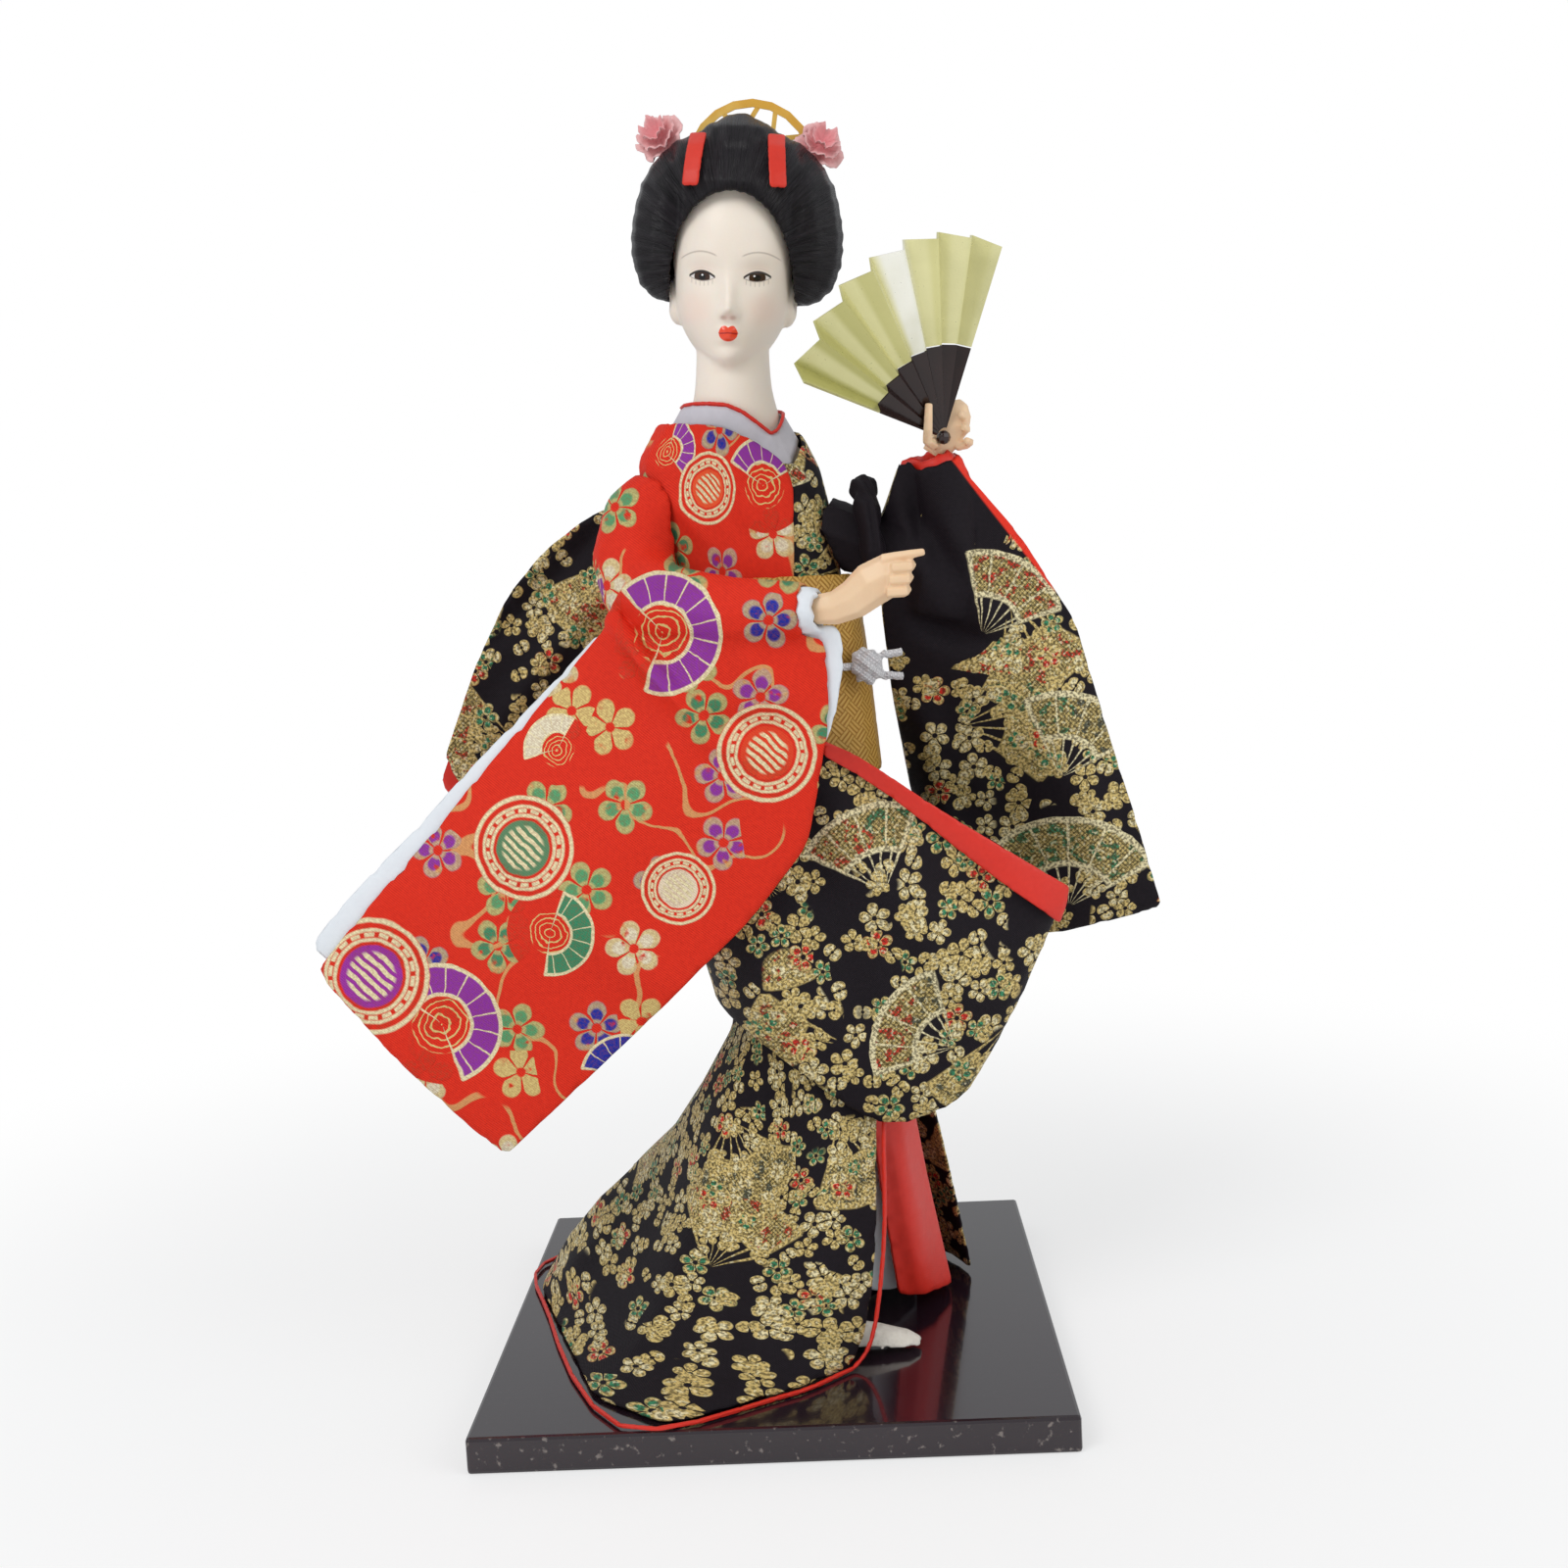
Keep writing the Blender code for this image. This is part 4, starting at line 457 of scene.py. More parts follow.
def red_brocade(name, seed=0.0, drums=(), fans=()):
    """Ribbed red cloth with drums, fan arcs, cords and blossoms."""
    made, cloth = new_material(name, "cloth")
    x, y, _ = parts_of(cloth)
    wobble = rough_noise(cloth, 300.0, 2.0)
    frayed = joined(x + (wobble - 0.5) * 0.0007, y + (wobble - 0.5) * 0.0007)
    height, shade = use(weave(), Vector=cloth, Pitch=0.00048, Rib=0.85)
    ground = blend_colour(shade, (0.50, 0.012, 0.006, 1), (0.88, 0.040, 0.014, 1))
    colour = ground

    path = rough_noise(frayed, 38.0, 1.0)
    line = step_down(abs(path - 0.5), 0.006, 0.010) * step_up(rough_noise(cloth, 30.0, 0.0), 0.46, 0.48) * 0.6
    colour = blend_colour(line, colour, GOLD_THREAD)
    thread = line
    local, pick, other = use(scatter(), Vector=frayed, Cell=0.0165, Seed=seed + 1.9)
    lx, ly, _ = parts_of(local)
    petal, rim = use(blossom(), Vector=joined(lx * 2.5, ly * 2.5), Petals=5.0)
    there = step_up(pick, 0.12, 0.13)
    hues = chosen_colour(other, (LEAF_GREEN, PURPLE, CREAM, BLUE, (0.10, 0.36, 0.16, 1), GOLD_THREAD))
    colour = blend_colour(petal * there * step_up(wobble, 0.30, 0.42), colour, hues)
    colour = blend_colour(rim * there * 0.7, colour, GOLD_THREAD)
    thread = most(thread, petal * there)

    if fans:
        local, hue = nearest_figure(frayed, fans)
        leaf, lines, _ = use(fan_figure(), Vector=local, Half_Spread=parts_of(local)[2])
        far = polar(local)[1]
        swirl = step_up(abs(sine(far * 26.0 + rough_noise(local, 2.2) * 9.0)), 0.90, 0.97)
        swirl = swirl * step_down(far, 0.46, 0.50)
        colour = blend_colour(step_down(far, 0.98, 1.0), colour, ground)
        colour = blend_colour(swirl, colour, GOLD_THREAD)
        colour = blend_colour(leaf, colour, hue)
        colour = blend_colour(lines, colour, PALE_GOLD)
        thread = most(thread, lines, leaf * 0.8)
    if drums:
        local, hue = nearest_figure(frayed, drums)
        middle, lines = use(drum_figure(), Vector=local)
        far = polar(local)[1]
        colour = blend_colour(step_down(far, 0.98, 1.0), colour, ground)
        colour = blend_colour(middle * 0.9, colour, hue)
        colour = blend_colour(lines, colour, PALE_GOLD)
        thread = most(thread, lines)

    # Painted shade: threads outside the glint are painted darker; the glint also sets their metal
    glint = step_up(rough_noise(cloth, 1600.0, 1.0), 0.38, 0.62)
    colour = blend_colour(thread * (1.0 - glint) * 0.3, colour, (0.25, 0.06, 0.02, 1))
    return finish_material(made, colour, 0.60 - thread * 0.15, height * 0.55 + thread * 0.7, 0.00016,
                           Metallic=thread * glint * 0.2, Specular_IOR_Level=0.15)


def satin(name, colour, dark, rough):
    """A smooth lining cloth with a fine weave and soft creases, painted towards the dark colour between its
    threads and along the creases as painted shade.
    """
    made, cloth = new_material(name, "cloth")
    height, shade = use(weave(), Vector=cloth, Pitch=0.00030, Rib=0.4)
    creases = rough_noise(cloth, 90.0)
    # Painted shade: the colour falls towards the dark colour between threads and in the creases
    return finish_material(made, blend_colour(shade * 0.6 + creases * 0.4, dark, colour),
                           rough + (creases - 0.5) * 0.2, height * 0.10 + creases, 0.0003,
                           Specular_IOR_Level=0.35)


def key_weave(name):
    """Ochre sash cloth with a raised key pattern of short bars."""
    made, cloth = new_material(name, "cloth")
    x, y, _ = parts_of(cloth)
    cell = 0.0030
    u = (x + y) * 0.7071 / cell
    v = (y - x) * 0.7071 / cell
    parity = calc("PINGPONG", calc("FLOOR", u) + calc("FLOOR", v), 1.0)
    bars_u = step_up(abs(sine(u * math.pi * 3.0)), 0.45, 0.70)
    bars_v = step_up(abs(sine(v * math.pi * 3.0)), 0.45, 0.70)
    bars = bars_u * parity + bars_v * (1.0 - parity)
    height, shade = use(weave(), Vector=cloth, Pitch=0.00034, Rib=0.2)
    under = blend_colour(shade, (0.30, 0.13, 0.012, 1), (0.46, 0.22, 0.022, 1))
    over = blend_colour(shade, (0.50, 0.27, 0.045, 1), (0.72, 0.44, 0.10, 1))
    return finish_material(made, blend_colour(bars, under, over), 0.62 - bars * 0.15,
                           bars * 0.8 + height * 0.3, 0.00022)


def braid(name):
    """White cord braided on the slant, painted grey between its strands as painted shade."""
    made, place = new_material(name)
    x, y, z = parts_of(place)
    strand = abs(sine((x + z * 1.2) * 2600.0)) * abs(sine((x - z * 1.2 + y) * 2600.0))
    fuzz = rough_noise(place, 1500.0)
    # Painted shade: the cord is painted grey where its strands dip, with some grey at random
    colour = blend_colour(strand * 0.7 + fuzz * 0.3, (0.55, 0.54, 0.56, 1), (0.90, 0.89, 0.90, 1))
    return finish_material(made, colour, 0.75, strand + fuzz * 0.4, 0.0003, Sheen_Weight=0.3)


def lacquer(name):
    """Black gloss lacquer with faint dust, fine scratches and rubbed edges."""
    made, place = new_material(name)
    dust = step_up(rough_noise(place, 2600.0, 1.0), 0.76, 0.82)
    cloud = rough_noise(place, 40.0)
    x, y, z = parts_of(place)
    scratch = rough_noise(joined(x * 0.08, y, z), 2400.0, 1.0)
    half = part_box("base_board")[1].x
    worn = step_up(most(abs(x), abs(y)), half - 0.0006, half) * step_up(rough_noise(place, 500.0), 0.60, 0.70)
    base = blend_colour(cloud, (0.010, 0.005, 0.008, 1), (0.020, 0.010, 0.016, 1))
    base = blend_colour(dust * 0.12, base, (0.30, 0.28, 0.28, 1))
    return finish_material(made, blend_colour(worn * 0.5, base, (0.35, 0.30, 0.27, 1)),
                           0.10 + cloud * 0.08 + dust * 0.3, scratch * 0.4 + cloud, 0.00003,
                           Coat_Weight=0.6, Coat_Roughness=0.05)


def skin(made, place, low, high, paint=None):
    """Moulded skin, its tone varying a little at random, with paint over it where there is any."""
    cloud = rough_noise(place, 120.0)
    grain = rough_noise(place, 2200.0)
    colour = blend_colour(cloud * 0.7 + grain * 0.3, low, high)
    rough = 0.42 + (grain - 0.5) * 0.1
    if paint:
        colour, rough = paint(colour, rough)
    return finish_material(made, colour, rough, grain, 0.00002, Subsurface_Weight=0.12,
                           Subsurface_Radius=(0.004, 0.002, 0.001), Subsurface_Scale=0.3)


def painted_face(name):
    """The head's skin with painted eyes, brows, lashes and lips, a painted shadow under the nose and a
    painted highlight in each eye, on the face's own map.
    """
    made, place = new_material(name)
    x, z, _ = parts_of(coordinates(made.node_tree, "face"))
    side = calc("SIGN", x)
    u = (abs(x) - EYE_APART) / EYE_HALF
    v = (z - EYE_HEIGHT - u * EYE_HALF * math.tan(EYE_TURN)) / EYE_OPEN
    bow = 1.0 - u * u
    low = bow * -0.72
    inside = step_up(v, low - 0.08, low + 0.08) * step_down(v, bow - 0.08, bow + 0.08)
    inside = inside * step_up(bow, 0.0, 0.02)
    iris_far = calc("SQRT", (u * u) / 0.40 + v * v * 0.42)
    iris = step_down(iris_far, 0.92, 1.05) * inside
    pupil = step_down(iris_far, 0.35, 0.50) * inside
    lid = between(v, bow - 0.14, bow + 0.36, 0.12) * step_up(bow, -0.12, 0.02)
    under = between(v, low - 0.14, low + 0.04, 0.08) * step_up(bow, -0.02, 0.05) * 0.55
    # A painted highlight: a small near-white spot in each eye stands for a reflection
    catchlight_u = u + side * 0.10 + 0.12
    catchlight_far = calc("SQRT", catchlight_u * catchlight_u * 6.0 + (v - 0.36) * (v - 0.36))
    painted_catchlight = step_down(catchlight_far, 0.12, 0.24) * inside
    lash_lines = step_up(abs(sine(u * 9.5)), 0.90, 0.99)
    lashes = lash_lines * between(v, low - 1.1, low - 0.1, 0.15) * step_up(bow, 0.12, 0.25) * 0.28
    fold = between(v, bow + 0.75, bow + 0.90, 0.10) * step_up(bow, 0.0, 0.3) * 0.20

    b = (abs(x) - 0.0072) / 0.0046
    brow_line = z - (BROW_HEIGHT + 0.0014 * (1.0 - b * b) - b * 0.0003)
    brow = step_down(abs(brow_line), 0.00006, 0.00030) * step_down(abs(b), 0.80, 1.02) * 0.50

    lip_x = abs(x) / 0.0023
    lip_z = (z - LIPS_HEIGHT) / 0.0018
    upper = 0.62 + 0.38 * sine(lip_x * 2.6 + 0.35) - calc("POWER", lip_x, 5.0) * 0.75
    lower = -1.0 * calc("SQRT", most(1.0 - lip_x * lip_x * 1.15, 0.0)) * 0.98
    lips = step_up(lip_z, lower - 0.06, lower + 0.10) * step_down(lip_z, upper - 0.10, upper + 0.06)
    lips = lips * step_down(lip_x, 0.95, 1.05)
    mouth_line = step_down(abs(lip_z - 0.10 + lip_x * 0.12), 0.04, 0.13) * lips
    blush = step_down(length(abs(x) - 0.0080, z + 0.0060), 0.0010, 0.0058) * 0.22
    lid_far = calc("SQRT", u * u * 0.5 + (v - 1.6) * (v - 1.6) * 0.25)
    lid_blush = step_down(lid_far, 0.2, 1.0) * 0.16
    # Painted shadow: a soft dark patch under each side of the nose tip
    nostril = length((abs(x) - 0.0011) / 0.0010, (z - NOSE_HEIGHT + 0.0014) / 0.0007)
    painted_nostril_shadow = step_down(nostril, 0.2, 1.1) * 0.50

    def paint(colour, rough):
        for share, tone in ((blush, (0.90, 0.52, 0.42, 1)), (painted_nostril_shadow, (0.50, 0.30, 0.24, 1)),
                            (lid_blush, (0.86, 0.55, 0.46, 1)), (fold, (0.45, 0.30, 0.24, 1)),
                            (inside, (0.80, 0.74, 0.70, 1)),
                            (iris, (0.045, 0.018, 0.010, 1)), (pupil, (0.006, 0.004, 0.004, 1)),
                            (lid, (0.020, 0.012, 0.010, 1)), (under, (0.08, 0.05, 0.045, 1)),
                            (lashes, (0.10, 0.07, 0.06, 1)), (painted_catchlight, (0.95, 0.95, 0.95, 1)),
                            (brow, (0.30, 0.22, 0.18, 1)), (lips, (0.86, 0.075, 0.030, 1)),
                            (mouth_line, (0.45, 0.02, 0.012, 1))):
            colour = blend_colour(share, colour, tone)
        return colour, rough - most(lips, inside) * 0.22

    return skin(made, place, (0.84, 0.73, 0.62, 1), (0.90, 0.82, 0.72, 1), paint)


def combed_hair(name):
    """Black hair combed in fine strands that run outwards from the face."""
    made, strands = new_material(name, "strands")
    x, y, _ = parts_of(strands)
    fine = rough_noise(joined(x * 90.0, y * 60.0), 1.0, 4.0)
    coarse = rough_noise(joined(x * 16.0, y * 30.0), 1.0, 2.0)
    comb_line = fine * 0.7 + coarse * 0.3
    colour = blend_colour(step_up(comb_line, 0.35, 0.68), (0.0015, 0.001, 0.002, 1), (0.012, 0.008, 0.012, 1))
    return finish_material(made, colour, 0.30 + (fine - 0.5) * 0.25, comb_line, 0.0008,
                           Specular_IOR_Level=0.28)


def hammered_gold(name, low, high, rough, metal, depth):
    """Metal with a soft uneven face."""
    made, place = new_material(name)
    dents = rough_noise(place, 120.0, 2.0)
    grain = rough_noise(place, 1500.0)
    return finish_material(made, blend_colour(step_up(dents, 0.35, 0.65), low, high),
                           rough + (grain - 0.5) * 0.18, dents + grain * 0.15, depth, Metallic=metal)


def pleated_gold(name):
    """Gold leaf on paper with painted light: painted shade from pale to greenish gold across the pleats,
    lighter painted bands by pleat, and one pleat painted as a bright highlight.
    """
    made, place = new_material(name)
    middle = sum(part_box("fan_pivot"), Vector()) / 2
    x, _, z = parts_of(place)
    angle = calc("ARCTAN2", z - middle.z, x - middle.x)
    # Painted shade: the gold darkens to greenish gold as the angle round the pivot grows towards the fan's
    # left end
    across = step_up(angle, 1.25, 2.75)
    colour = blend_colour(across, (0.76, 0.72, 0.34, 1), (0.50, 0.48, 0.17, 1))
    # Painted shading: pleats in alternate bands are painted lighter
    painted_pleat_shading = sine(angle * 27.0) * 0.5 + 0.5
    colour = blend_colour(step_up(painted_pleat_shading, 0.2, 0.9) * 0.55, colour, (0.90, 0.86, 0.50, 1))
    # A painted highlight: one pleat is painted near-white
    painted_highlight = between(angle, 1.76, 1.93, 0.035)
    colour = blend_colour(painted_highlight, colour, (0.98, 0.97, 0.88, 1))
    cloud = rough_noise(place, 55.0)
    colour = blend_colour(step_up(cloud, 0.45, 0.75) * 0.35, colour, (0.40, 0.38, 0.13, 1))
    grain = rough_noise(place, 1500.0)
    return finish_material(made, colour, 0.30 + (grain - 0.5) * 0.12, cloud + grain * 0.05, 0.0008,
                           Metallic=0.45)


def glossy(name, low, high, rough):
    made, place = new_material(name)
    cloud = rough_noise(place, 200.0)
    return finish_material(made, blend_colour(cloud, low, high), rough + (cloud - 0.5) * 0.12, cloud, 0.00006)


def padding(name):
    """Wound cotton padding."""
    made, place = new_material(name)
    fluff = rough_noise(place, 700.0, 5.0)
    return finish_material(made, blend_colour(fluff, (0.62, 0.57, 0.49, 1), (0.84, 0.80, 0.72, 1)), 0.95,
                           fluff, 0.0005)


# ---- Shaping ----

# Corners that meet within MERGE_DISTANCE are one, an edge is halved up to REFINE_ROUNDS times, folds are
# FOLD_STRENGTH as deep as their tables say, and a face that looks SIDE_FACE sideways is a garment's edge
MERGE_DISTANCE = 0.00001
REFINE_ROUNDS = 6
FOLD_STRENGTH = 1.9
SIDE_FACE = 0.92
# Faces that meet at a sharper angle than this keep their edge, in degrees
CLOTH_EDGE = 55
KNOT_EDGE = 50
PLEAT_EDGE = 25


def at_height(table, height):
    """A table's columns at a height, smooth between its rows."""
    rows = np.asarray(table, float)
    keys = rows[:, 0]
    height = min(max(height, keys[0]), keys[-1])
    i = min(int(np.searchsorted(keys, height, side="right")) - 1, len(keys) - 2)
    slopes = np.gradient(rows[:, 1:], keys, axis=0)
    span = keys[i + 1] - keys[i]
    f = (height - keys[i]) / span
    start = rows[i, 1:] * (1 + 2 * f) * (1 - f) ** 2 + slopes[i] * span * f * (1 - f) ** 2
    return start + rows[i + 1, 1:] * f * f * (3 - 2 * f) + slopes[i + 1] * span * f * f * (f - 1)


def bump(value, middle, width):
    return math.exp(-(((value - middle) / width) ** 2))


def smooth_share(value, low, high):
    f = min(max((value - low) / (high - low), 0.0), 1.0)
    return f * f * (3 - 2 * f)


def finish_piece(name, bm, material, node, sharp=0):
    """A bmesh made a piece that rides on the doll and stands for a CAD node."""
    mesh = bpy.data.meshes.new(name)
    bm.to_mesh(mesh)
    bm.free()
    mesh.shade_smooth()
    if sharp:
        mesh.set_sharp_from_angle(angle=math.radians(sharp))
    mesh.materials.append(material)
    piece = bpy.data.objects.new(name, mesh)
    bpy.context.scene.collection.objects.link(piece)
    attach(piece, "root")
    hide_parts(node)
    return piece


def merged_copy(node):
    """A CAD node's faces in a bmesh, with its loose triangles merged."""
    bm = bmesh.new()
    bm.from_mesh(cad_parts[node].data)
    bmesh.ops.remove_doubles(bm, verts=bm.verts, dist=MERGE_DISTANCE)
    return bm


def refine(bm, edge):
    """Cut every edge that is longer than edge, and even out the triangles."""
    for _ in range(REFINE_ROUNDS):
        long_edges = [e for e in bm.edges if e.calc_length() > edge]
        if not long_edges:
            break
        bmesh.ops.subdivide_edges(bm, edges=long_edges, cuts=1)
        bmesh.ops.triangulate(bm, faces=[f for f in bm.faces if len(f.verts) > 3])


def relax(bm, times, factor=0.5):
    for _ in range(times):
        bmesh.ops.smooth_vert(bm, verts=bm.verts, factor=factor,
                              use_axis_x=True, use_axis_y=True, use_axis_z=True)


def fold_push(place, folds):
    """How far the folds push a place forwards: each is a line seen from the front, a depth and a width."""
    push = 0.0
    for x0, z0, x1, z1, depth, width in folds:
        along = Vector((x1 - x0, z1 - z0))
        offset = Vector((place.x - x0, place.z - BOARD_TOP - z0))
        t = offset.dot(along) / along.length_squared
        if -0.15 < t < 1.15:
            away = (offset - along * t).length
            fade = smooth_share(t, -0.15, 0.25) * (1 - smooth_share(t, 0.75, 1.15))
            push += FOLD_STRENGTH * depth * fade * bump(away, 0.0, width)
    return push


def map_cloth(bm, place_of, period=0.0):
    """A map in metres on the cloth; a map that goes round the figure has a period."""
    layer = bm.loops.layers.uv.new("cloth")
    bm.normal_update()
    for face in bm.faces:
        places = [place_of(loop.vert.co) for loop in face.loops]
        if not period and abs(face.normal.x) > SIDE_FACE:
            # An edge seen from the side takes the print from its depth
            places = [(loop.vert.co.y, loop.vert.co.z - BOARD_TOP) for loop in face.loops]
        first = places[0][0]
        for loop, (u, v) in zip(face.loops, places):
            if period:
                u -= period * round((u - first) / period)
            loop[layer].uv = (u, v)


def flat_map(co):
    return co.x, co.z - BOARD_TOP


def round_map(middle_x, middle_y, radius, flare=0.0):
    def place(co):
        x, y = co.x - middle_x, co.y - middle_y
        return radius * math.atan2(x, -y), co.z - BOARD_TOP - flare * math.hypot(x, y)
    return place, radius * math.tau


def cloth_piece(name, node, material, edge, times, folds=(), around=(flat_map,), ripple=0.0):
    """A garment's piece on its CAD form: finer, softened, folded (in mm) and mapped for its print."""
    bm = merged_copy(node)
    refine(bm, edge)
    relax(bm, times)
    folds = [[value * MM for value in row] for row in folds]
    for vert in bm.verts:
        push = fold_push(vert.co, folds)
        if ripple:
            push += ripple * noise.noise(Vector((vert.co.x * 55, 0.0, vert.co.z * 55)))
        vert.co.y -= push
    map_cloth(bm, *around)
    return finish_piece(name, bm, material, node, CLOTH_EDGE)


def fused_form(bm, voxel, times):
    """A rounded form: its overlapping parts fused by a voxel remesh, then softened."""
    mesh = bpy.data.meshes.new("rough")
    bm.to_mesh(mesh)
    bm.free()
    rough = bpy.data.objects.new("rough", mesh)
    bpy.context.scene.collection.objects.link(rough)
    fuse = rough.modifiers.new("fuse", "REMESH")
    fuse.mode = "VOXEL"
    fuse.voxel_size = voxel
    soft = rough.modifiers.new("soft", "SMOOTH")
    soft.iterations = times
    soft.factor = 0.5
    fused = bmesh.new()
    fused.from_object(rough, bpy.context.evaluated_depsgraph_get())
    bpy.data.objects.remove(rough, do_unlink=True)
    bpy.data.meshes.remove(mesh)
    bmesh.ops.recalc_face_normals(fused, faces=fused.faces)
    return fused


def head_frame():
    lean = Matrix.Rotation(HEAD_LEAN, 4, "Y")
    nod = Matrix.Rotation(HEAD_NOD, 4, "X")
    return Matrix.Translation(Vector(HEAD_MIDDLE) + Vector((0, 0, BOARD_TOP))) @ lean @ nod


def pair(x, middle, width):
    """A feature on each side of the face."""
    return bump(x, -middle, width) + bump(x, middle, width)


def face_relief(x, z):
    """How far the face's features stand out of the plain skull."""
    bridge = bump(x, 0.0, 0.0015) * smooth_share(z, NOSE_HEIGHT - 0.0016, NOSE_HEIGHT + 0.0010)
    bridge *= 1 - smooth_share(z, NOSE_HEIGHT + 0.0010, EYE_HEIGHT + 0.0045)
    lips = bump(abs(x), 0.0009, 0.0012) * bump(z, LIPS_HEIGHT + 0.0007, 0.0007)
    paired = (  # height of the relief, how far apart, half width, middle height, half height
        (0.0008, 0.0017, 0.0009, NOSE_HEIGHT - 0.0006, 0.0010),
        (-0.0011, EYE_APART, 0.0036, EYE_HEIGHT + 0.0004, 0.0028),
        (0.0006, EYE_APART, 0.0030, EYE_HEIGHT + 0.0004, 0.0013),
        (0.0004, 0.0070, 0.0050, BROW_HEIGHT + 0.0008, 0.0026),
        (0.0004, 0.0080, 0.0040, NOSE_HEIGHT - 0.0006, 0.0045))
    central = (  # height of the relief, half width, middle height, half height
        (0.0019, 0.0017, NOSE_HEIGHT, 0.0017), (0.0007, 0.0014, LIPS_HEIGHT - 0.0009, 0.0008),
        (0.0005, 0.0020, LIPS_HEIGHT, 0.0020), (-0.0003, 0.0006, LIPS_HEIGHT + 0.0024, 0.0009),
        (-0.0004, 0.0030, LIPS_HEIGHT - 0.0028, 0.0009), (0.0008, 0.0040, LIPS_HEIGHT - 0.0056, 0.0022))
    return (0.0020 * bridge + 0.0006 * lips
            + sum(rise * pair(x, apart, wide) * bump(z, middle, high)
                  for rise, apart, wide, middle, high in paired)
            + sum(rise * bump(x, 0.0, wide) * bump(z, middle, high) for rise, wide, middle, high in central))


class DollSettings(bpy.types.PropertyGroup):
    """What a maker may change before the doll is dressed."""

    floor_colour: FloatVectorProperty(name="Floor", description="Colour of the studio floor", size=4,
                                      subtype="COLOR", default=(0.93, 0.93, 0.93, 1), min=0, max=1)
    key_power: FloatProperty(name="Key lamp", description="Power of the main soft lamp, in watts",
                             default=5.6, min=0, max=50)
    cloth_ripple: FloatProperty(name="Cloth ripple", description="Height of the unevenness of hung cloth",
                                default=0.0005, min=0, max=0.002, unit="LENGTH")
    strand_depth: FloatProperty(name="Strand depth", description="Depth of the combed lines in the hair",
                                default=0.0002, min=0, max=0.001, unit="LENGTH")
    inner_parts: BoolProperty(name="Inner parts", description="Finish the padding and the rod as well",
                              default=True)


def mix_shaders(output, share, under, over):
    """Feed an output with one shader over another."""
    mixer = new_node(share.tree, "MixShader", {0: share, 1: Num(under.outputs[0]), 2: Num(over.outputs[0])})
    feed(output.inputs["Surface"], Num(mixer.outputs[0]))


def ray(path, kind):
    return Num(path.outputs["Is %s Ray" % kind])


class PieceOperator(bpy.types.Operator):
    """Makes one group of the doll's pieces."""

    bl_idname = "doll.piece"
    bl_label = "Piece"
    bl_options = {"REGISTER", "UNDO"}

    def execute(self, context):
        self.make(context.scene.doll)
        return {"FINISHED"}

    def make(self, settings):
        raise RuntimeError("this operator makes nothing by itself")


class SetStage(PieceOperator):
    """A pale floor, two soft lamps and the camera at the photograph's angle."""

    bl_idname = "doll.stage"
    bl_label = "Stage"

    def make(self, settings):
        scene = bpy.context.scene
        bm = bmesh.new()
        bmesh.ops.create_grid(bm, x_segments=2, y_segments=2, size=3.0)
        mesh = bpy.data.meshes.new("floor")
        bm.to_mesh(mesh)
        bm.free()
        floor = bpy.data.objects.new("floor", mesh)
        scene.collection.objects.link(floor)
        made, place = new_material("floor_paint")
        tree = made.node_tree
        shader = tree.nodes["Principled BSDF"]
        feed(shader.inputs["Roughness"], rough_noise(place, 60.0) * 0.1 + 0.7)
        feed(shader.inputs["Base Color"], settings.floor_colour)
        # The floor keeps its shadow by the board and fades to white away from it
        x, y, _ = parts_of(place)
        fade = 0.55 + 0.45 * step_up(length(x, y), 0.10, 0.40)
        glow = new_node(tree, "Emission", {"Color": WHITE})
        seen = ray(new_node(tree, "LightPath"), "Camera") * fade
        mix_shaders(tree.nodes["Material Output"], seen, shader, glow)
        mesh.materials.append(made)
        for name, place, share, size in (("key_lamp", (-0.55, -0.75, 0.95), 1.0, 0.6),
                                         ("side_lamp", (0.85, -0.45, 0.55), 0.45, 0.7)):
            lamp = bpy.data.lights.new(name, "AREA")
            lamp.energy = settings.key_power * share
            lamp.size = size
            holder = bpy.data.objects.new(name, lamp)
            holder.location = place
            holder.rotation_euler = (LAMP_AIM - Vector(place)).to_track_quat("-Z", "Y").to_euler()
            scene.collection.objects.link(holder)
        world = bpy.data.worlds.new("studio")
        world.use_nodes = True
        scene.world = world
        # The room lights the doll with a faintly blue white, and the camera sees plain white behind it
        nodes = world.node_tree.nodes
        ambient = nodes["Background"]
        feed(ambient.inputs["Color"], (0.96, 0.98, 1.0, 1))
        feed(ambient.inputs["Strength"], 0.58)
        white = new_node(world.node_tree, "Background", {"Color": WHITE, "Strength": 1.0})
        path = new_node(world.node_tree, "LightPath")
        mix_shaders(nodes["World Output"], most(ray(path, "Camera"), ray(path, "Transmission")), ambient,
                    white)
        camera = bpy.data.cameras.new("camera")
        camera.lens = CAMERA_LENS
        camera.sensor_width = 36.0
        holder = bpy.data.objects.new("camera", camera)
        level = math.cos(CAMERA_PITCH)
        ahead = Vector((math.sin(CAMERA_YAW) * level, math.cos(CAMERA_YAW) * level, math.sin(CAMERA_PITCH)))
        right = Vector((math.cos(CAMERA_YAW), -math.sin(CAMERA_YAW), 0))
        above = right.cross(ahead)
        leaned = right * math.cos(CAMERA_ROLL) + above * math.sin(CAMERA_ROLL)
        upright = above * math.cos(CAMERA_ROLL) - right * math.sin(CAMERA_ROLL)
        turn = Matrix((leaned, upright, -ahead)).transposed()
        holder.matrix_world = Matrix.Translation(CAMERA_PLACE) @ turn.to_4x4()
        scene.collection.objects.link(holder)
        scene.camera = holder
        scene.view_settings.view_transform = "Standard"


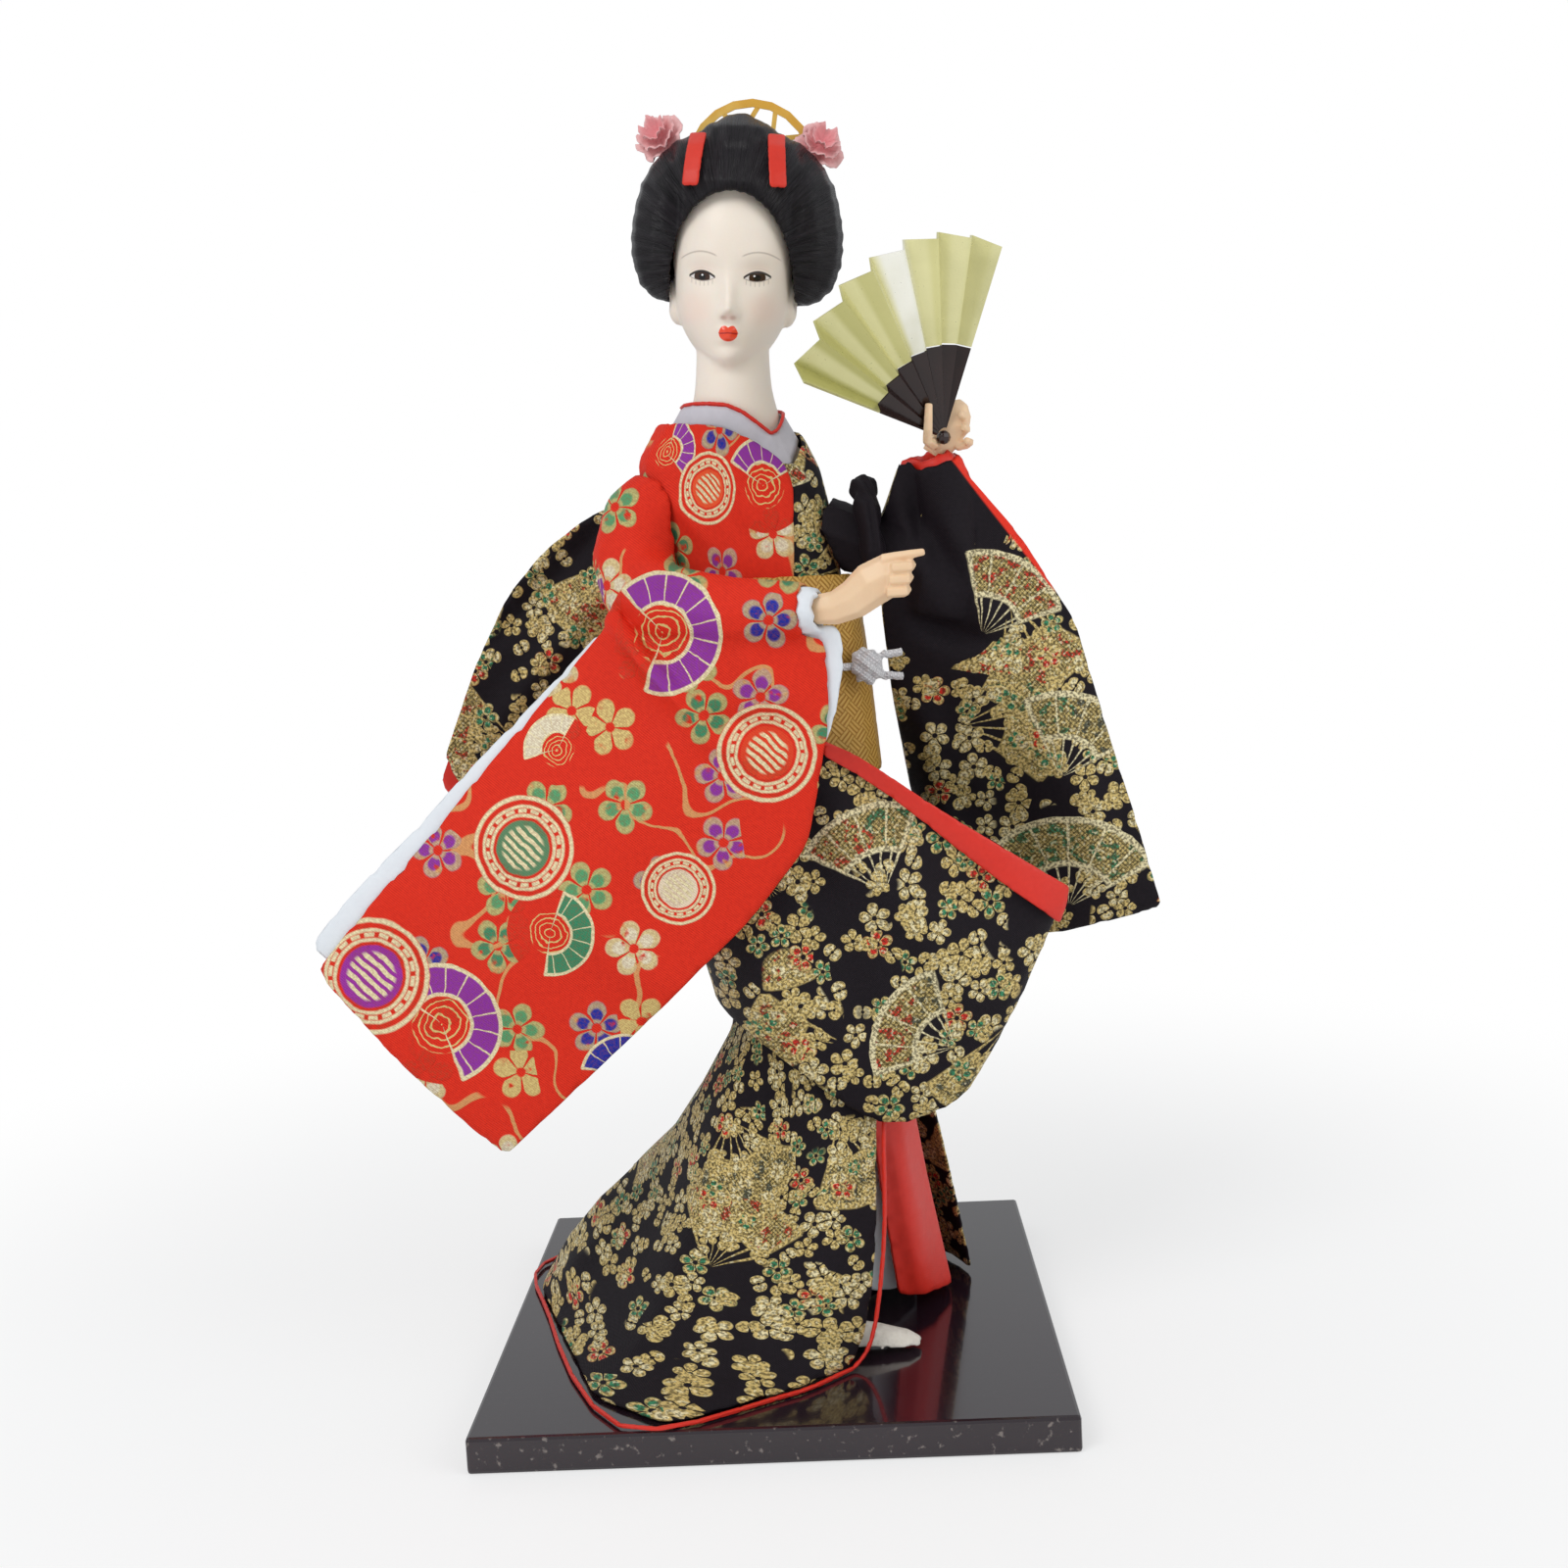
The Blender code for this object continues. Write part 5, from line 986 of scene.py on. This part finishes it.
class FinishBoard(PieceOperator):
    """Lacquer on the board, and plain finishes on the rod, padding and arms."""

    bl_idname = "doll.board"
    bl_label = "Board and inner parts"

    def make(self, settings):
        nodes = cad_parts
        nodes["base_board"].data.materials[0] = lacquer("board_lacquer")
        if settings.inner_parts:
            stuffing = padding("wound_cotton")
            for name in ("body_core", "right_arm", "left_arm"):
                nodes[name].data.materials[0] = stuffing
            nodes["support_rod"].data.materials[0] = hammered_gold(
                "drawn_steel", (0.30, 0.30, 0.31, 1), (0.42, 0.42, 0.43, 1), 0.35, 1.0, 0.00005)


class MakeHead(PieceOperator):
    """The moulded head, neck and ears with the painted face."""

    bl_idname = "doll.head"
    bl_label = "Head"

    def make(self, settings):
        stand = head_frame()
        bm = bmesh.new()
        bmesh.ops.create_cone(bm, cap_ends=True, segments=40, radius1=1, radius2=1, depth=2)
        edges = [e for e in bm.edges if abs(e.verts[0].co.z - e.verts[1].co.z) > 1]
        bmesh.ops.subdivide_edges(bm, edges=edges, cuts=14)
        for vert in bm.verts:
            height = NECK[0][0] + (NECK[-1][0] - NECK[0][0]) * (vert.co.z + 1) / 2
            x, y, half, depth = at_height(NECK, height)
            angle = math.atan2(vert.co.y, vert.co.x)
            vert.co = Vector((x + half * math.cos(angle), y + depth * math.sin(angle), height + BOARD_TOP))
        skull = bmesh.ops.create_uvsphere(bm, u_segments=72, v_segments=56, radius=1.0)["verts"]
        low, high = SKULL[0][0], SKULL[-1][0]
        for vert in skull:
            z = low + (high - low) * (vert.co.z + 1) / 2
            half, front, back = at_height(SKULL, z)
            angle = math.atan2(vert.co.y, vert.co.x)
            depth = back if math.sin(angle) > 0 else front
            pole = 0.0 if abs(vert.co.z) > 0.9999 else 1.0
            vert.co = stand @ Vector((half * math.cos(angle) * pole, depth * math.sin(angle) * pole, z))
        for side in (-1, 1):
            ear = bmesh.ops.create_uvsphere(bm, u_segments=24, v_segments=18, radius=1.0)["verts"]
            bmesh.ops.scale(bm, vec=(0.0024, 0.0036, 0.0054), verts=ear)
            bmesh.ops.rotate(bm, verts=ear, cent=(0, 0, 0), matrix=Matrix.Rotation(side * 0.12, 3, "Y"))
            bmesh.ops.translate(bm, vec=(side * 0.0133, 0.0010, -0.0045), verts=ear)
            bmesh.ops.transform(bm, matrix=stand, verts=ear)
        fused = fused_form(bm, 0.00045, 8)
        back_again = stand.inverted()
        for vert in fused.verts:
            local = back_again @ vert.co
            if local.y < 0 and local.z > -0.0200:
                local.y -= face_relief(local.x, local.z) * smooth_share(-local.y, 0.002, 0.008)
            for side in (-1, 1):
                # The ear's bowl, inside its rim
                away = Vector((local.y - 0.0002, local.z + 0.0040))
                if side * local.x > 0.0134:
                    local.x -= side * 0.0012 * math.exp(-(away.length / 0.0020) ** 2)
            vert.co = stand @ local
        relax(fused, 1, 0.4)
        layer = fused.loops.layers.uv.new("face")
        for face in fused.faces:
            for loop in face.loops:
                local = back_again @ loop.vert.co
                behind = 0.2 if local.y > -0.004 else 0.0
                loop[layer].uv = (local.x + behind, local.z)
        finish_piece("moulded_head", fused, painted_face("painted_skin"), "head")


class MakeHair(PieceOperator):
    """The dressed hair, its ribbons, flowers and comb."""

    bl_idname = "doll.hair"
    bl_label = "Hair"

    def make(self, settings):
        hair = combed_hair("combed_hair")
        stand = head_frame()
        bm = merged_copy("hair_topknot")
        bm.normal_update()
        low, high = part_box("hair_topknot")
        for vert in bm.verts:
            # The dome sinks into the roll in front of it, so that the two fuse
            vert.co += vert.normal * 0.0006
            vert.co.z -= 0.0012 * smooth_share(high.z - vert.co.z, 0.0, high.z - low.z)
        bm.from_mesh(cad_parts["hair_cap"].data)
        bmesh.ops.remove_doubles(bm, verts=bm.verts, dist=0.00001)
        fused = fused_form(bm, 0.0005, 22)
        back_again = stand.inverted()
        layer = fused.loops.layers.uv.new("strands")
        for vert in fused.verts:
            local = back_again @ vert.co
            angle = math.atan2(local.z - 0.004, local.x)
            far = math.hypot(local.x, local.z - 0.004)
            lift = settings.strand_depth * (0.6 * noise.noise(Vector((angle * 26, far * 60, local.y * 40)))
                                            + 0.5 * math.sin(angle * 46 + 2.5 * math.sin(far * 260)))
            # The side wings part from the front roll along a soft valley
            valley = bump(abs(local.x - 0.0008), 0.0135 + 0.25 * max(local.z - 0.018, 0.0), 0.0016)
            lift -= 0.0012 * valley * smooth_share(local.z, 0.006, 0.016) * smooth_share(-local.y, 0.0, 0.006)
            vert.co += vert.normal * lift
        for face in fused.faces:
            for loop in face.loops:
                local = back_again @ loop.vert.co
                angle = math.atan2(local.x, local.z - 0.004)
                loop[layer].uv = (angle, math.hypot(local.x, local.z - 0.004) + local.y * 0.8)
        piece = finish_piece("dressed_hair", fused, hair, "hair_cap")
        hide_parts("hair_topknot")
        ribbon = satin("ribbon_satin", (0.80, 0.045, 0.020, 1), (0.50, 0.015, 0.008, 1), 0.38)
        for side in ("left", "right"):
            cloth_piece("ribbon_" + side, "hair_ribbon_" + side, ribbon, edge=0.0010, times=2)
        self.flowers()
        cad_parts["comb"].data.materials[0] = hammered_gold(
            "comb_gold", (0.78, 0.42, 0.05, 1), (0.94, 0.62, 0.15, 1), 0.42, 0.2, 0.0001)

    def flowers(self):
        made, petal = new_material("flower_cloth", "cloth")
        mottled = rough_noise(petal, 900.0)
        colour = blend_colour(step_up(polar(petal)[1], 0.0008, 0.0055), (0.72, 0.22, 0.24, 1),
                              (0.88, 0.55, 0.54, 1))
        colour = blend_colour(mottled * 0.5, colour, (0.80, 0.36, 0.37, 1))
        finish_material(made, colour, 0.8, mottled, 0.0003)
        for side, node in ((-1, "hair_flower_left"), (1, "hair_flower_right")):
            low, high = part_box(node)
            face = (Matrix.Translation((low + high) / 2) @ Matrix.Rotation(side * 0.7, 4, "Y")
                    @ Matrix.Rotation(math.radians(55), 4, "X"))
            mesh = bpy.data.meshes.new("petals")
            bm = bmesh.new()
            for tier, (reach, rise, turn) in enumerate(
                    ((0.0062, 0.0, 0.0), (0.0048, 0.0012, 0.6), (0.0032, 0.0024, 0.2))):
                ring = bmesh.new()
                bmesh.ops.create_circle(ring, cap_ends=True, cap_tris=True, radius=1.0, segments=40)
                spokes = [e for e in ring.edges if e.calc_length() > 0.9]
                bmesh.ops.subdivide_edges(ring, edges=spokes, cuts=5)
                for vert in ring.verts:
                    r = min(math.hypot(vert.co.x, vert.co.y), 1.0)
                    a = math.atan2(vert.co.y, vert.co.x) + turn
                    far = reach * r * (0.80 + 0.20 * abs(math.cos(2.5 * a)) ** 0.6)
                    ruffle = 0.0009 * math.sin(5 * a + tier) + 0.0005 * math.sin(13 * a + 2 * tier)
                    cup = 0.0016 * (0.5 + 0.5 * tier)
                    vert.co = Vector((far * math.cos(a), far * math.sin(a), rise + (ruffle + cup) * r * r))
                ring.to_mesh(mesh)
                ring.free()
                bm.from_mesh(mesh)
            bpy.data.meshes.remove(mesh)
            layer = bm.loops.layers.uv.new("cloth")
            for each in bm.faces:
                for loop in each.loops:
                    loop[layer].uv = loop.vert.co.xy
            bmesh.ops.transform(bm, matrix=face, verts=bm.verts)
            bmesh.ops.remove_doubles(bm, verts=bm.verts, dist=0.000001)
            piece = finish_piece("hair_blossom_" + node.split("_")[-1], bm, made, node)
            wall = piece.modifiers.new("wall", "SOLIDIFY")
            wall.thickness = 0.00025
            wall.offset = 0.0


class MakeRedHalf(PieceOperator):
    """The red half of the kimono: bodice, long sleeve and white lining."""

    bl_idname = "doll.red_half"
    bl_label = "Red kimono half"

    def make(self, settings):
        ripple = settings.cloth_ripple
        drums = ((-50.5, 122.5, 11.8, 0, 0, LEAF_GREEN), (-87.5, 94.5, 13.6, 0, 0, PURPLE),
                 (5.5, 141.5, 11.2, 0, 0, (0.72, 0.06, 0.02, 1)), (-16, 112, 8.5, 0, 0, CREAM))
        fans = ((-16.5, 169, 13.8, 0.2, 2.15, PURPLE), (-71.8, 83, 14, 0.6, 1.9, PURPLE),
                (-45.2, 103.5, 10.2, -0.3, 1.5, LEAF_GREEN), (-31, 69, 10, 1.2, 1.7, BLUE),
                (-42, 144, 8, 2.2, 1.2, CREAM))
        cloth = red_brocade("red_sleeve_brocade", 0.0, drums, fans)
        folds = ((-30, 172, -4, 143, 1.6, 2.8), (-30, 186, -12, 176, -1, 2.2), (-12, 150, 12, 146, -1.2, 3),
                 (-4, 172, 12, 150, 1, 4), (-60, 130, -20, 85, 1, 6), (-85, 105, -55, 70, -1, 7))
        sleeve = cloth_piece("long_red_sleeve", "red_sleeve", cloth, edge=0.0028, times=4,
                             folds=folds, ripple=ripple)
        white = satin("white_lining_silk", (0.84, 0.87, 0.90, 1), (0.68, 0.72, 0.77, 1), 0.45)
        lining = cloth_piece("white_sleeve_lining", "red_sleeve_lining", white, edge=0.0030,
                             times=3, folds=folds, ripple=ripple)
        chest = red_brocade("red_bodice_brocade", 4.0, ((-7.5, 201, 8.5, 0, 0, (0.80, 0.10, 0.03, 1)),),
                            ((9, 201, 11, 1.5, 1.1, PURPLE), (-19, 210, 7.5, 0.3, 1.2, PURPLE)))
        bodice = cloth_piece("red_bodice_cloth", "red_bodice", chest, edge=0.0022, times=2,
                             folds=((-10, 212, 4, 186, -0.5, 1.6), (-20, 205, -4, 186, 0.5, 1.8)),
                             around=round_map(0.0, 0.0, 0.020))


BLACK_FANS_LEFT = ((56, 164, 20, 1.0, 0.75, GOLD_THREAD), (74, 129, 21, 1.2, 0.80, GOLD_THREAD),
                   (76, 96, 23, 1.57, 1.10, GOLD_THREAD))


def lining_line(made):
    """Show the raised sleeve's lining as a narrow red line between the cuff and the elbow."""
    colour = made.node_tree.nodes["Principled BSDF"].inputs["Base Color"]
    printed = Num(colour.links[0].from_socket)
    x, _, z = parts_of(coordinates(made.node_tree))
    height = z - BOARD_TOP
    edge = (x - 0.0470) * 0.80 + (height - 0.2050) * 0.60
    line = step_up(edge, 0.0018, 0.0024) * between(height, 0.1740, 0.2060, 0.0015)
    feed(colour, blend_colour(line, printed, RED_LINING))


class MakeBlackHalf(PieceOperator):
    """The black half of the kimono: bodice, gathers, raised sleeve and the empty sleeve behind."""

    bl_idname = "doll.black_half"
    bl_label = "Black kimono half"

    def make(self, settings):
        ripple = settings.cloth_ripple
        red = satin("red_lining_satin", RED_LINING, (0.52, 0.012, 0.008, 1), 0.36)
        cloth = black_brocade("black_sleeve_brocade", 0.0, BLACK_FANS_LEFT, 0.40,
                              ((40, 195, 26), (48, 172, 16)))
        lining_line(cloth)
        folds = ((36, 203, 44, 172, 1.4, 3), (40, 196, 52, 176, -1.2, 2.6), (50, 190, 60, 160, 1.2, 4),
                 (40, 168, 66, 160, -1.4, 3), (40, 150, 50, 98, 2, 5), (58, 148, 68, 94, -1.6, 6),
                 (72, 150, 86, 98, 1.4, 6))
        sleeve = cloth_piece("raised_black_sleeve", "black_sleeve_left", cloth, edge=0.0028,
                             times=3, folds=folds, ripple=ripple)
        lining = cloth_piece("raised_sleeve_lining", "black_sleeve_left_lining", red,
                             edge=0.0032, times=2, folds=folds, ripple=ripple)
        empty_folds = ((-20, 196, -70, 140, 1.2, 4), (-30, 198, -66, 166, -1, 3), (-18, 176, -52, 130, -1, 4))
        empty = cloth_piece("empty_black_sleeve", "black_sleeve_right",
                            black_brocade("empty_sleeve_brocade", 11.0, (), 0.34),
                            edge=0.0028, times=3, folds=empty_folds, ripple=ripple)
        lining = cloth_piece("empty_sleeve_lining", "black_sleeve_right_lining", red,
                             edge=0.0030, times=2, folds=empty_folds, ripple=ripple)
        chest = black_brocade("black_bodice_brocade", 5.0, ((13, 199, 10, 1.2, 0.9, GOLD_THREAD),), 0.40)
        bodice = cloth_piece("black_bodice_cloth", "black_bodice", chest, edge=0.0022,
                             times=2, folds=((20, 208, 8, 186, 0.6, 1.8),), around=round_map(0.0, 0.0, 0.020))
        fused = fused_form(merged_copy("black_gather"), 0.00045, 4)
        for vert in fused.verts:
            vert.co += vert.normal * math.sin((vert.co.x + vert.co.y * 0.6) * 2400) * 0.00035
        map_cloth(fused, flat_map)
        finish_piece("gathered_cloth", fused, black_brocade("gather_brocade", 8.0, (), 2.0), "black_gather")


class MakeSash(PieceOperator):
    """The ochre sash with its bow, white cord and knot."""

    bl_idname = "doll.sash"
    bl_label = "Sash"

    def make(self, settings):
        cloth = key_weave("key_weave")
        around = round_map(0.0080, -0.0010, 0.0195)
        sash = cloth_piece("woven_sash", "obi", cloth, edge=0.0025, times=1, around=around)
        bm = merged_copy("obi_bow")
        refine(bm, 0.0020)
        low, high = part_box("obi_bow")
        middle = (low + high) / 2
        for vert in bm.verts:
            # A flat drum knot: full above and below, drawn in by its middle band
            f = (vert.co.z - middle.z) / (high.z - low.z)
            waist = bump(f, 0.0, 0.10)
            vert.co.y -= 0.0012 * waist * smooth_share(vert.co.y, middle.y, high.y)
            vert.co.x += (middle.x - vert.co.x) * 0.06 * waist
        relax(bm, 3)
        map_cloth(bm, flat_map)
        bow = finish_piece("sash_drum_knot", bm, cloth, "obi_bow", KNOT_EDGE)
        white = braid("white_braid")
        for name, node, voxel, times in (("sash_cord", "obijime", 0.0004, 3),
                                         ("sash_cord_knot", "obijime_knot", 0.00035, 4)):
            fused = fused_form(merged_copy(node), voxel, times)
            if node == "obijime_knot":
                low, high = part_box(node)
                for vert in fused.verts:
                    if vert.co.x < low.x + 0.0085:
                        strand = math.sin(vert.co.z * 1900) * math.cos(vert.co.x * 1700)
                        vert.co += vert.normal * 0.0005 * strand
            finish_piece(name, fused, white, node)


class MakeSkirts(PieceOperator):
    """The over-skirt with its red band, the skirt with its train, and both under-skirts."""

    bl_idname = "doll.skirts"
    bl_label = "Skirts"

    def make(self, settings):
        ripple = settings.cloth_ripple
        red = bpy.data.materials["red_lining_satin"]
        flap_cloth = black_brocade("over_skirt_brocade", 2.0,
                                   ((30, 108, 20, 1.9, 0.8, GOLD_THREAD),
                                    (45, 70, 20, 2.6, 0.8, GOLD_THREAD)))
        folds = ((20, 140, 60, 100, -1.2, 4), (18, 130, 50, 80, 1.4, 6), (12, 125, 26, 70, -1, 5),
                 (-4, 110, 6, 80, 1, 5))
        flap = cloth_piece("over_skirt", "hip_flap", flap_cloth, edge=0.0030, times=3,
                           folds=folds, ripple=ripple)
        band = cloth_piece("over_skirt_band", "hip_flap_band", red, edge=0.0018, times=1,
                           folds=folds)
        skirt_cloth = black_brocade("skirt_brocade", 6.0, ((6, 56, 17, 1.8, 0.9, GOLD_THREAD),), 0.36)
        folds = ((-4, 70, -30, 10, 1.6, 5), (6, 66, -6, 6, -1.6, 6), (18, 60, 12, 6, 1.2, 6),
                 (-18, 50, -48, 10, -1.6, 5))
        skirt = cloth_piece("trained_skirt", "skirt", skirt_cloth, edge=0.0030, times=3,
                            folds=folds, around=round_map(0.0080, 0.0, 0.034, 0.7))
        cloth_piece("skirt_rolled_edge", "skirt_piping", red, edge=0.0012, times=1)
        under = cloth_piece("red_under_skirt", "underskirt_red", red, edge=0.0028, times=1,
                            folds=((30, 48, 36, 2, 1.4, 3), (36, 48, 43, 2, -1.2, 2.5)))
        white = bpy.data.materials["white_lining_silk"]
        under = cloth_piece("white_under_skirt", "underskirt_white", white, edge=0.0028,
                            times=1)


class MakeCollar(PieceOperator):
    """The pale silk collar with its thin red piping."""

    bl_idname = "doll.collar"
    bl_label = "Collar"

    def make(self, settings):
        silk = satin("grey_silk", (0.66, 0.64, 0.69, 1), (0.50, 0.48, 0.53, 1), 0.42)
        collar = cloth_piece("silk_collar", "under_collar", silk, edge=0.0018, times=0,
                             around=round_map(0.0, 0.0, 0.012))
        # The collar's upper edge is drawn up under its piping
        collar.data.transform(Matrix.Translation((0, 0, 0.0007)))
        cloth_piece("collar_red_piping", "collar_piping", bpy.data.materials["red_lining_satin"],
                    edge=0.0010, times=1)


class MakeHandsAndFeet(PieceOperator):
    """The moulded hands, and the feet in their socks."""

    bl_idname = "doll.hands"
    bl_label = "Hands and feet"

    def make(self, settings):
        made, place = new_material("hand_skin")
        cream = skin(made, place, (0.80, 0.52, 0.30, 1), (0.88, 0.66, 0.44, 1))
        for node in ("right_hand", "left_hand"):
            finish_piece("moulded_" + node, fused_form(merged_copy(node), 0.00026, 7), cream, node)
        sock = padding("sock_cotton")
        for node in ("right_foot", "left_foot"):
            finish_piece("sock_" + node, fused_form(merged_copy(node), 0.0005, 8), sock, node)


class MakeFan(PieceOperator):
    """The gold pleated fan with its dark sticks and pivot."""

    bl_idname = "doll.fan"
    bl_label = "Fan"

    def make(self, settings):
        gold = pleated_gold("fan_gold")
        bm = merged_copy("fan_leaf")
        refine(bm, 0.0012)
        map_cloth(bm, flat_map)
        finish_piece("pleated_leaf", bm, gold, "fan_leaf", PLEAT_EDGE)
        dark = glossy("dark_sticks", (0.012, 0.005, 0.004, 1), (0.030, 0.012, 0.010, 1), 0.22)
        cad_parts["fan_sticks"].data.materials[0] = dark
        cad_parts["fan_pivot"].data.materials[0] = dark


class DollPanel(bpy.types.Panel):
    """The doll's pieces, in the order in which they are made."""

    bl_idname = "VIEW3D_PT_doll"
    bl_label = "Geisha doll"
    bl_space_type = "VIEW_3D"
    bl_region_type = "UI"
    bl_category = "Doll"

    def draw(self, context):
        for name in DollSettings.__annotations__:
            self.layout.prop(context.scene.doll, name)
        for operator in PIECES:
            self.layout.operator(operator.bl_idname)


PIECES = (SetStage, FinishBoard, MakeHead, MakeHair, MakeRedHalf, MakeBlackHalf, MakeSash, MakeSkirts,
          MakeCollar, MakeHandsAndFeet, MakeFan)


def register():
    bpy.utils.register_class(DollSettings)
    for operator in PIECES:
        bpy.utils.register_class(operator)
    bpy.utils.register_class(DollPanel)
    bpy.types.Scene.doll = PointerProperty(type=DollSettings)


def unregister():
    del bpy.types.Scene.doll
    bpy.utils.unregister_class(DollPanel)
    for operator in reversed(PIECES):
        bpy.utils.unregister_class(operator)
    bpy.utils.unregister_class(DollSettings)


def main():
    register()
    for operator in PIECES:
        family, name = operator.bl_idname.split(".")
        getattr(getattr(bpy.ops, family), name)()


if __name__ == "__main__":
    main()
